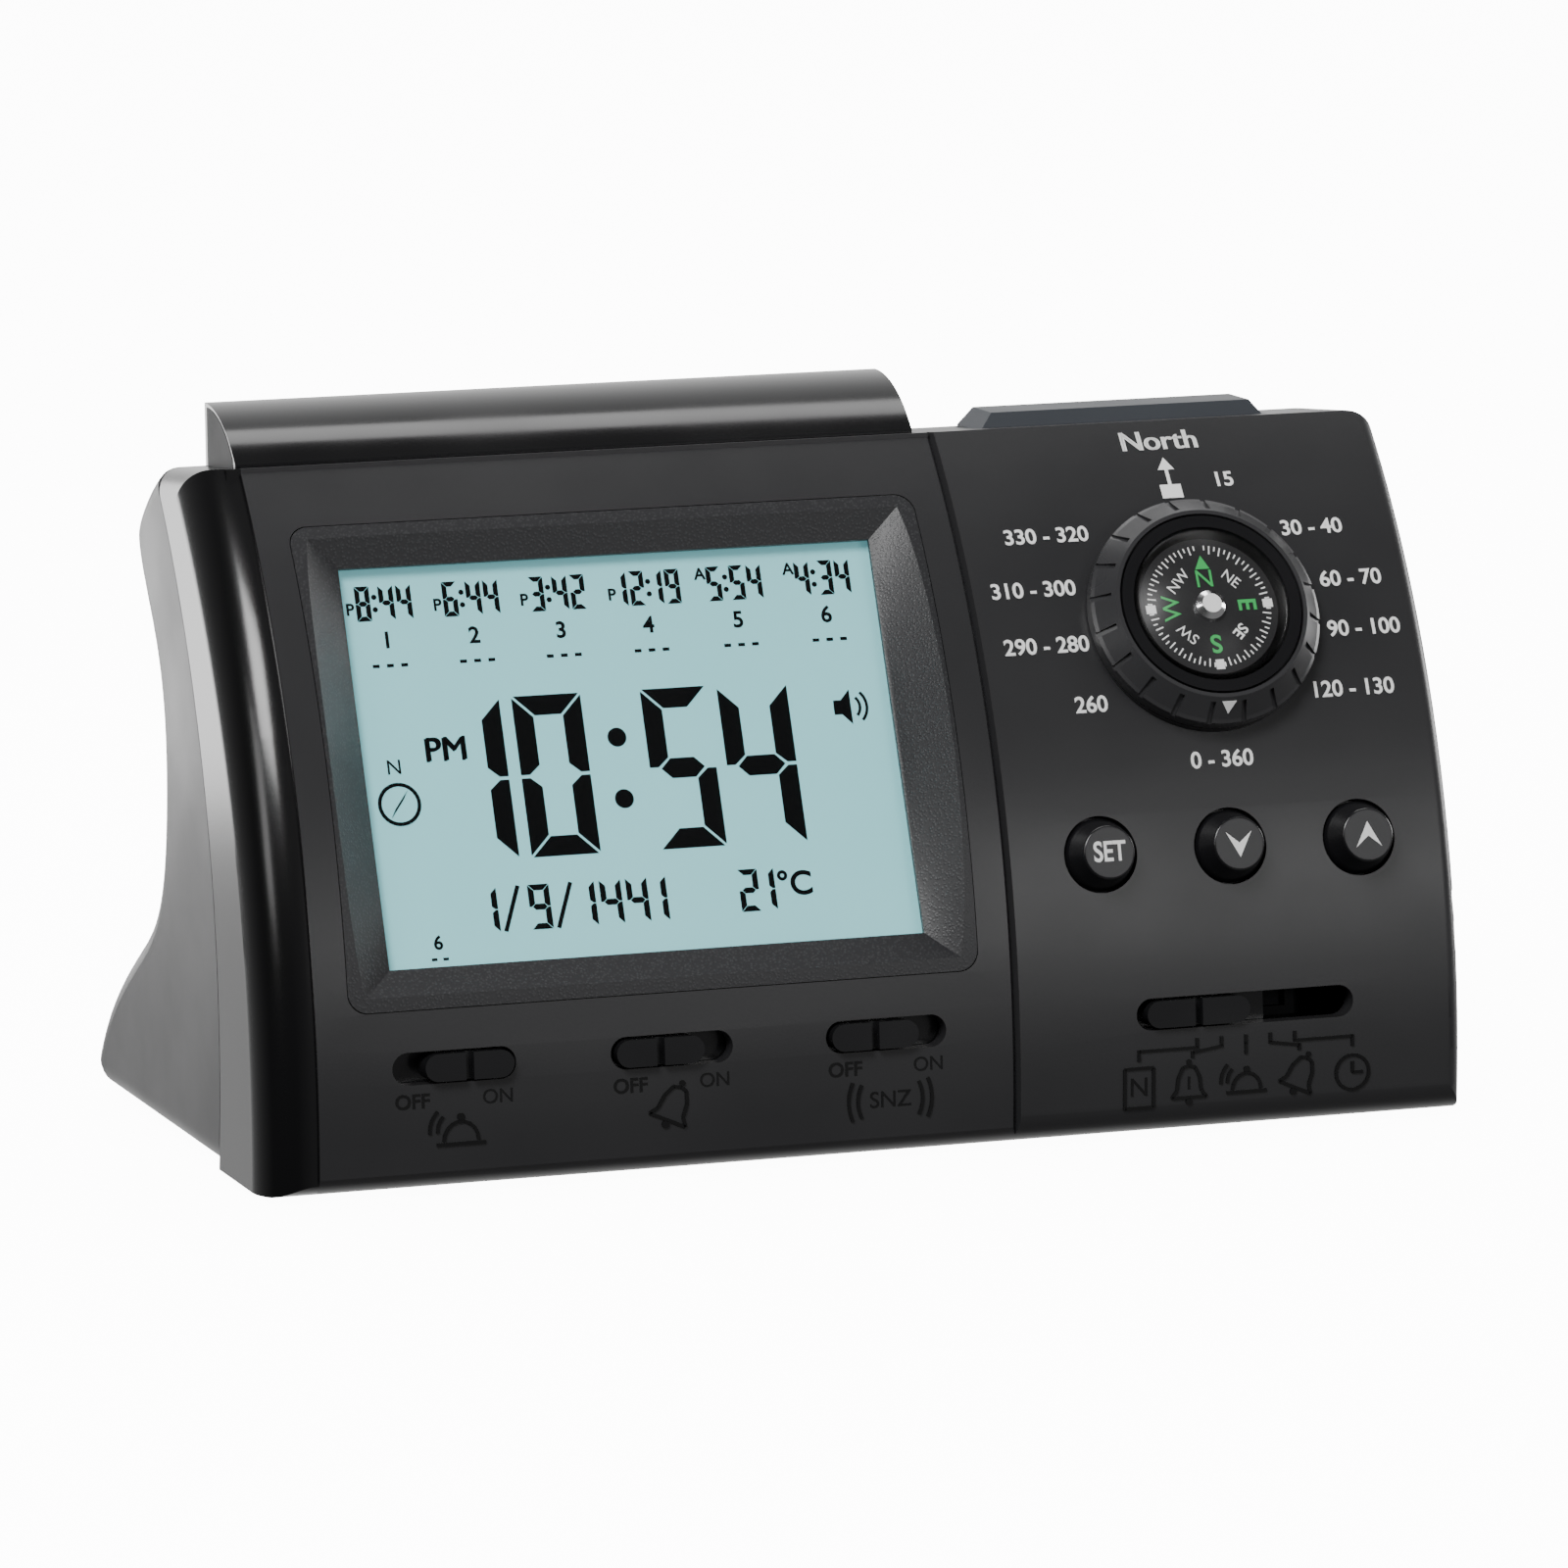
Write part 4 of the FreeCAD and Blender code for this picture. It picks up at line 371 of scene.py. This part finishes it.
def digit(char, u, v, width, height, bar):
    """The segments of one digit whose lower left corner is at u, v."""
    gap = bar * 0.09
    middle = height / 2
    top = [(gap, height), (width - gap, height), (width - bar - gap, height - bar),
           (bar + gap, height - bar)]
    post = [(0, middle + gap), (bar * 0.45, middle + gap), (bar, middle + bar / 2 + gap * 0.7),
            (bar, height - bar - gap), (0, height - gap)]
    waist = [(bar / 2 + gap, middle), (bar + gap, middle + bar / 2),
             (width - bar - gap, middle + bar / 2), (width - bar / 2 - gap, middle),
             (width - bar - gap, middle - bar / 2), (bar + gap, middle - bar / 2)]

    def flip(points, across, down):
        turned = [(width - x if across else x, height - y if down else y) for x, y in points]
        return turned if across == down else turned[::-1]

    shapes = {"a": top, "b": flip(post, True, False), "c": flip(post, True, True), "d": flip(top, False, True),
              "e": flip(post, False, True), "f": post, "g": waist}
    return [[(u + x, v + y) for x, y in shapes[segment]] for segment in SEGMENTS[char]]


def number(text, u, v, width, height, bar, gap):
    """Digits, colons and slashes from u to the right. A 1 fills only the right of its cell."""
    made = []
    for char in text:
        if char == ":":
            made += [disc(u + gap * 0.4, v + height * share, bar * 0.55, 12) for share in (0.32, 0.68)]
            u += gap * 1.9
            continue
        if char == "/":
            made += stroke([(u, v), (u + width * 0.8, v + height)], bar * 0.7)
        else:
            u -= width * 0.35 if char == "1" else 0.0
            made += digit(char, u, v, width, height, bar)
        u += width + gap
    return made


def dome_icon(u, v, size):
    """Outline of a plain dome with a small knob, on a base line, with two waves at its left."""
    crown = [polar(1.0, a) for a in range(180, -1, -20)]
    crown = [(0.3 + x, -0.6 + 1.1 * y) for x, y in crown]
    made = stroke(placed(crown, u, v, size), LINE) + [disc(u + 0.3 * size, v + 0.75 * size, 0.22 * size, 10)]
    made += stroke(placed([(-1.1, -0.75), (1.7, -0.75)], u, v, size), 0.45)
    for reach in (1.15, 1.6):
        made += arc(u + 0.1 * size, v, reach * size, 0.38, 135, 185, 6)
    return made


def bell_icon(u, v, size, tilt):
    """Outline of a plain bell with its clapper and knob."""
    side = [(-1.0, -0.75), (-0.7, -0.35), (-0.62, 0.35), (-0.35, 0.9), (0.0, 1.0)]
    bell = side + [(-x, y) for x, y in reversed(side[:-1])] + [side[0]]
    clapper, knob = placed([(0.0, -0.98), (0.0, 1.2)], u, v, size, tilt)
    made = stroke(placed(bell, u, v, size, tilt), 0.42)
    return made + [disc(*clapper, 0.2 * size, 10), disc(*knob, 0.15 * size, 8)]


# New pieces

def attach(obj, body):
    bpy.context.scene.collection.objects.link(obj)
    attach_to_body(obj, body)
    return obj


def new_mesh(name, points, faces, matrix, material):
    mesh = bpy.data.meshes.new(name)
    mesh.from_pydata(points, [], faces)
    mesh.transform(matrix)
    mesh.update()
    mesh.materials.append(material)
    return mesh


def flat(name, outlines, matrix, finish, thick=PRINT):
    """Thin raised shapes, each from its outline in a local frame."""
    material, body, slot = finish
    points = []
    faces = []
    for outline in outlines:
        first = len(points)
        count = len(outline)
        points += [(u * MM, v * MM, 0.0) for u, v in outline]
        points += [(u * MM, v * MM, thick * MM) for u, v in outline]
        faces.append([first + count + i for i in range(count)])
        faces.append([first + count - 1 - i for i in range(count)])
        for i in range(count):
            j = (i + 1) % count
            faces.append([first + i, first + j, first + count + j, first + count + i])
    mesh = new_mesh(name, points, faces, matrix, material)
    return attach(bpy.data.objects.new(name, mesh), body)


def words(name, text, matrix, size, finish, u=0.0, v=0.0, turn=0.0, wide=1.0):
    """Text centred at u, v. The letters M, N and W break when they are made bolder, so they stay thin."""
    material, body, slot = finish
    curve = bpy.data.curves.new(name, "FONT")
    curve.body = text
    curve.size = size
    curve.extrude = PRINT / 2
    curve.offset = 0.0 if set(text) & set("MNW") else BOLD * size
    curve.align_x = "CENTER"
    curve.align_y = "CENTER"
    curve.materials.append(material)
    obj = bpy.data.objects.new(name, curve)
    shift = Matrix.Translation((u * MM, v * MM, PRINT / 2 * MM))
    scale = Matrix.Diagonal((wide * MM, MM, MM, 1))
    obj.matrix_world = matrix @ shift @ Matrix.Rotation(turn, 4, "Z") @ scale
    return attach(obj, body)


def lens_dome():
    """Clear compass lens: a smooth spherical crown on a short wall."""
    radius, rise, wall = 10.15, 2.6, 0.6
    bands, steps = 16, 96
    crown = RING_TOP + rise
    ball = (radius * radius + rise * rise) / (2 * rise)
    spread = math.asin(radius / ball)
    angles = [spread * k / bands for k in range(bands, 0, -1)]
    rings = [(radius, RING_TOP - wall)]
    rings += [(ball * math.sin(a), crown - ball + ball * math.cos(a)) for a in angles]
    points = [(x * MM, y * MM, z * MM) for r, z in rings for x, y in disc(0.0, 0.0, r, steps)]
    points.append((0, 0, crown * MM))
    faces = []
    for low in range(0, (len(rings) - 1) * steps, steps):
        for i in range(steps):
            j = (i + 1) % steps
            faces.append([low + i, low + j, low + steps + j, low + steps + i])
    last = (len(rings) - 1) * steps
    faces += [[last + steps, last + i, last + (i + 1) % steps] for i in range(steps)]
    mesh = new_mesh("lens_dome", points, faces, face_matrix(*COMPASS), DOME)
    for polygon in mesh.polygons:
        polygon.use_smooth = True
    obj = attach(bpy.data.objects.new("lens_dome", mesh), "housing")
    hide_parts("compass_lens")


def bar_end_shade():
    """Dark sheet of painted shade on the left end of the snooze bar, with the end's own outline made smaller.
    """
    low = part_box("snooze_bar")[0]
    share = 0.84
    rim = [v.co for v in nodes["snooze_bar"].data.vertices if v.co.x < low.x + 1e-6]
    seen = sorted({(round(-p.y / MM, 3), round(p.z / MM, 3)) for p in rim})
    middle = (sum(u for u, v in seen) / len(seen), sum(v for u, v in seen) / len(seen))
    seen.sort(key=lambda p: math.atan2(p[1] - middle[1], p[0] - middle[0]))
    inset = [(middle[0] + share * (u - middle[0]), middle[1] + share * (v - middle[1])) for u, v in seen]
    end = local_frame((low.x, 0, 0), (0, -1, 0), (0, 0, 1), (-1, 0, 0))
    # A dull dark sheet laid on the end as painted shade.
    flat("bar_end_painted_shade", [inset], end, BAR_END_SHADE, 0.05)


def lettering_on_glass():
    """Places are from the centre of the display."""
    at = face_matrix(*DISPLAY, GLASS)
    half_row = {"P": 20.4, "A": 22.4}
    columns = ((-31.6, "P", "8:44"), (-20.5, "P", "6:44"), (-9.4, "P", "3:42"),
               (1.9, "P", "12:19"), (13.5, "A", "5:54"), (25.0, "A", "4:34"))
    times = []
    for u, half, time in columns:
        times += number(time, u - 0.5, 18.9, 1.85, 4.4, 0.6, 0.4)
    flat("lcd_times", times, at, ON_GLASS)
    for index, (u, half, time) in enumerate(columns):
        words(f"lcd_half_{index}", half, at, 2.1, ON_GLASS, u - 1.3, half_row[half])
        words(f"lcd_column_{index}", f"{index + 1}", at, 2.9, ON_GLASS, u + 2.9, 16.3)
        words(f"lcd_column_low_{index}", "- - -", at, 3.0, ON_GLASS, u + 2.9, 13.4)
    clock = [disc(-1.2, 2.4, 1.2), disc(-1.3, -5.4, 1.2)]
    for char, u, v, width in (("1", -24.4, -12.0, 8.8), ("0", -14.0, -12.0, 8.8),
                              ("5", 2.5, -12.1, 8.5), ("4", 12.4, -12.4, 9.0)):
        clock += digit(char, u, v, width, 20.3, 2.5)
    flat("lcd_clock", clock, at, ON_GLASS)
    for side in (-0.12, 0.12):
        words("lcd_pm", "PM", at, 4.3, ON_GLASS, -23.1 + side, 2.1 + side / 2)
    words("lcd_north", "N", at, 2.6, ON_GLASS, -29.9, 0.3)
    needle = [[(-30.4, -4.9), (-28.6, -2.6), (-29.2, -3.7)], [(-30.4, -4.9), (-31.0, -6.0), (-29.2, -3.7)]]
    flat("lcd_compass", arc(-29.8, -4.3, 2.5, 0.45) + needle, at, ON_GLASS)
    speaker = [[(27.2, 3.5), (28.2, 3.5), (29.4, 2.2), (29.4, 6.6), (28.2, 5.3), (27.2, 5.3)]]
    for radius, steps in ((1.6, 8), (2.5, 10)):
        speaker += arc(29.0, 4.4, radius, 0.35, -45, 45, steps)
    flat("lcd_speaker", speaker, at, ON_GLASS)
    date = number("1/9/1441", -20.9, -21.0, 2.7, 5.6, 0.72, 0.66)
    date += number("21", 11.8, -20.6, 2.5, 5.3, 0.7, 0.5)
    flat("lcd_date", date, at, ON_GLASS)
    words("lcd_celsius", "°C", at, 4.2, ON_GLASS, 19.0, -17.6)
    words("lcd_day", "6", at, 2.4, ON_GLASS, -27.2, -21.9)
    words("lcd_day_low", "- -", at, 2.4, ON_GLASS, -27.2, -23.7)


def lettering_round_compass():
    """Word and arrow above the ring, and plain bearings round it, each at its x and t."""
    lift = PANEL_STEP + LIFT
    size = 2.9
    bearings = ((29.9, 76.8, "330 - 320"), (26.7, 69.5, "310 - 300"), (27.1, 62.0, "290 - 280"),
                (31.7, 54.1, "260"), (65.2, 76.0, "30 - 40"), (68.9, 68.7, "60 - 70"),
                (69.4, 62.0, "90 - 100"), (66.5, 54.2, "120 - 130"), (55.1, 83.5, "15"))
    # The word is printed twice, a little apart, to make it bold.
    for name, x in (("north_mark", 47.85), ("north_mark_wide", 48.05)):
        words(name, "North", face_matrix(x, 89.7, lift), 4.1, ON_FACE)
    arrow = [[(-1.4, -3.0), (1.4, -3.0), (1.4, -1.0), (-1.4, -1.0)], [(-1.1, 1.2), (1.1, 1.2), (0.0, 3.0)]]
    arrow += stroke([(0.0, -1.0), (0.0, 1.3)], 0.45)
    flat("north_arrow", arrow, face_matrix(47.9, 84.2, lift), ON_FACE)
    words("zero_mark", "0 - 360", face_matrix(47.9, 46.2, lift), size, ON_FACE)
    for index, (x, t, text) in enumerate(bearings):
        words(f"bearing_{index}", text, face_matrix(x, t, lift), size, ON_FACE)


def legends_of_alarm_slides():
    chime, alarm, snooze = SLOT_X
    for index, x in enumerate(SLOT_X):
        for name, text, side in (("off", "OFF", -5.4), ("on", "ON", 5.4)):
            words(f"{name}_{index}", text, face_matrix(x + side, 11.1, LIFT), 2.5, MOULDED)
    flat("chime_icon", dome_icon(0.0, 0.0, 2.2), face_matrix(chime, 7.3, LIFT), MOULDED, RAISED)
    flat("alarm_icon", bell_icon(0.0, 0.0, 2.5, 24), face_matrix(alarm, 8.3, LIFT), MOULDED, RAISED)
    at = face_matrix(snooze + 0.4, 7.0, LIFT)
    words("snooze_icon", "SNZ", at, 2.9, MOULDED)
    waves = arc(-0.4, 0.0, 4.6, LINE, -27, 27, 8) + arc(-0.4, 0.0, 5.8, LINE, -25, 25, 8)
    flat("snooze_waves", waves + mirrored(waves), at, MOULDED, RAISED)


def legends_of_mode_slide():
    """Five bent lines lead from the places of the knob to the icons below the slot."""
    lift = PANEL_STEP + LIFT
    knob_pitch, icon_pitch = 3.25, 7.1
    leaders = []
    for k in range(-2, 3):
        bend = 0.5 if abs(k) == 1 else 1.1
        leaders += stroke([(k * knob_pitch, 2.3), (k * knob_pitch, 1.1)], LINE)
        if k:
            corner = (k * knob_pitch - math.copysign(LINE / 2, k), 1.1)
            leaders += stroke([corner, (k * icon_pitch, bend)], LINE)
        leaders += stroke([(k * icon_pitch, bend + LINE / 2), (k * icon_pitch, -0.2)], LINE)
    flat("mode_leaders", leaders, face_matrix(MODE_X, 9.6, lift), MOULDED, RAISED)
    boxed, bell, dome, tilted_bell, dial = (-14.2, 0.0), (-7.6, 0.1), (-0.5, 0.0), (7.2, 0.2), (14.2, 0.0)
    corners = [(-1.9, -2.5), (1.9, -2.5), (1.9, 2.5), (-1.9, 2.5), (-1.9, -2.7)]
    icons = stroke(placed(corners, *boxed, 1.0), LINE)
    icons += bell_icon(*bell, 2.3, 0) + dome_icon(*dome, 1.9) + bell_icon(*tilted_bell, 2.3, 24)
    icons += arc(*dial, 2.2, LINE, steps=24) + stroke([(14.2, 1.4), (14.2, 0.0), (15.6, 0.0)], LINE)
    at = face_matrix(MODE_X, 6.1, lift)
    flat("mode_icons", icons, at, MOULDED, RAISED)
    words("mode_north", "N", at, 3.4, MOULDED, *boxed)
    words("mode_one", "1", at, 2.2, MOULDED, *bell)


def lettering_on_keys():
    left, middle, right = (face_matrix(x, BUTTON_T, BUTTON_TOP) for x in BUTTON_X)
    arrow = [(-1.7, 1.5), (0.0, -1.7), (1.7, 1.5), (0.0, 0.1)]
    words("set_legend", "SET", left, 3.5, (WHITE, "set_button", "key"), wide=0.78)
    flat("down_legend", [arrow], middle, (WHITE, "down_button", "key"))
    flat("up_legend", [[(-u, -v) for u, v in arrow]], right, (WHITE, "up_button", "key"))


def compass_marks():
    at = face_matrix(*COMPASS, CARD_TOP)
    ticks = []
    for index in range(72):
        if index % 18:
            ticks += spoke(5 * index, 7.5 if index % 2 else 7.0, 8.1, 0.18)
    for turn in (90, 180, 270):
        ticks += spoke(turn, 7.1, 8.4, 1.1)
    flat("card_ticks", ticks, at, ON_CARD)
    flat("card_north", [[(-0.95, 5.0), (0.95, 5.0), (0.0, 6.8)]], at, GREEN_ON_CARD)
    for index, text in enumerate(("N", "NE", "E", "SE", "S", "SW", "W", "NW")):
        turn = 45 * index
        size, finish = (3.3, GREEN_ON_CARD) if len(text) == 1 else (2.0, ON_CARD)
        place = polar(3.6 if text == "N" else 4.9, 90 - turn)
        words(f"card_{text}", text, at, size, finish, *place, -math.radians(turn))
    flat("pivot_cap", [disc(0, 0, 1.25, 32)], face_matrix(*COMPASS, CARD_TOP + HUB_RISE), ON_HUB, 0.12)


def ring_triangle():
    """White triangle that lies on the bevel of the ring, at its lower side."""
    radius, height = 13.4, 4.04
    slope = math.atan2(RING_TOP - RING_RIM, RING_BEVEL[1] - RING_BEVEL[0])
    at = face_matrix(*COMPASS) @ Matrix.Translation((0, -radius * MM, height * MM))
    outline = [(0.0, -1.0), (0.95, 0.75), (-0.95, 0.75)]
    flat("ring_triangle", [outline], at @ Matrix.Rotation(slope, 4, "X"), ON_RING, 0.06)


# Studio, in metres

FLOOR_REACH = 6.0
SENSOR = 36.0              # width of the camera's sensor in millimetres
PHOTO_WIDTH = 1600
FOCUS = 9453.74            # focal length in pixels of the photograph
EYE = (-0.3599365, -1.1007413, 0.2227452)
EYE_RIGHT = Vector((0.9490763, -0.3147443, -0.0137924))
EYE_UP = Vector((0.0617305, 0.1428542, 0.9878168))
# Name, place, target, width and height, power in watts
LIGHTS = (
    ("key_soft", (-0.7, -0.9, 1.1), (0, 0, 0.05), (0.6, 0.6), 22.0),
    ("front_sheen", (0.42, -1.05, 0.25), (0.02, -0.02, 0.03), (0.35, 0.25), 1.6),
    ("right_soft", (1.2, 0.12, 0.25), (0, 0, 0.05), (0.5, 0.5), 9.0),
    ("left_soft", (-1.1, -0.62, 0.5), (0, 0, 0.05), (0.3, 0.5), 2.0),
    ("rear_soft", (-0.2, 0.4, 0.12), (-0.0775, 0.04, 0.05), (0.12, 0.3), 0.5),
    ("top_soft", (0.1, 0.25, 1.0), (0, 0, 0.08), (0.9, 0.25), 3.5),
)


def floor():
    """Glowing pale floor that neither lights the object nor shows in its gloss."""
    paper = plastic("paper_floor", (0.9, 0.9, 0.9), (0.93, 0.93, 0.93), 0.7, 300.0, 0.05)
    glow = paper.node_tree.nodes["Principled BSDF"]
    glow.inputs["Emission Color"].default_value = (1, 1, 1, 1)
    glow.inputs["Emission Strength"].default_value = 12.0
    corners = [(x * FLOOR_REACH, y * FLOOR_REACH, 0) for x, y in ((-1, -1), (1, -1), (1, 1), (-1, 1))]
    mesh = new_mesh("floor", corners, [[0, 1, 2, 3]], Matrix.Identity(4), paper)
    slab = bpy.data.objects.new("floor", mesh)
    bpy.context.scene.collection.objects.link(slab)
    slab.visible_glossy = False
    slab.visible_diffuse = False


def room():
    """White room: bright behind, and dim in front of the face and at the left."""
    world = bpy.data.worlds.new("studio")
    bpy.context.scene.world = world
    world.use_nodes = True
    tree = world.node_tree
    sky = tree.nodes["Background"]
    power = tree.nodes.new("ShaderNodeMath")
    power.operation = "MULTIPLY"
    tree.links.new(ramp(tree, axis_of(tree, "Generated", "Y"), -0.05, 0.8, 0.2, 1.5), power.inputs[0])
    tree.links.new(ramp(tree, axis_of(tree, "Generated", "X"), -0.45, 0.1, 0.3, 1.0), power.inputs[1])
    tree.links.new(power.outputs[0], sky.inputs["Strength"])
    sky.inputs["Color"].default_value = (1, 1, 1, 1)


def lights():
    for name, place, target, size, power in LIGHTS:
        data = bpy.data.lights.new(name, "AREA")
        data.shape = "RECTANGLE"
        data.size, data.size_y = size
        data.energy = power
        obj = bpy.data.objects.new(name, data)
        obj.location = place
        obj.rotation_euler = (Vector(target) - Vector(place)).to_track_quat("-Z", "Y").to_euler()
        bpy.context.scene.collection.objects.link(obj)


def camera():
    data = bpy.data.cameras.new("camera")
    data.sensor_width = SENSOR
    data.lens = FOCUS / PHOTO_WIDTH * SENSOR
    data.clip_end = 50.0
    obj = bpy.data.objects.new("camera", data)
    obj.matrix_world = local_frame(EYE, EYE_RIGHT, EYE_UP, EYE_RIGHT.cross(EYE_UP))
    bpy.context.scene.collection.objects.link(obj)
    bpy.context.scene.camera = obj


dress_nodes()
lens_dome()
bar_end_shade()
lettering_on_glass()
lettering_round_compass()
legends_of_alarm_slides()
legends_of_mode_slide()
lettering_on_keys()
compass_marks()
ring_triangle()
floor()
room()
lights()
camera()
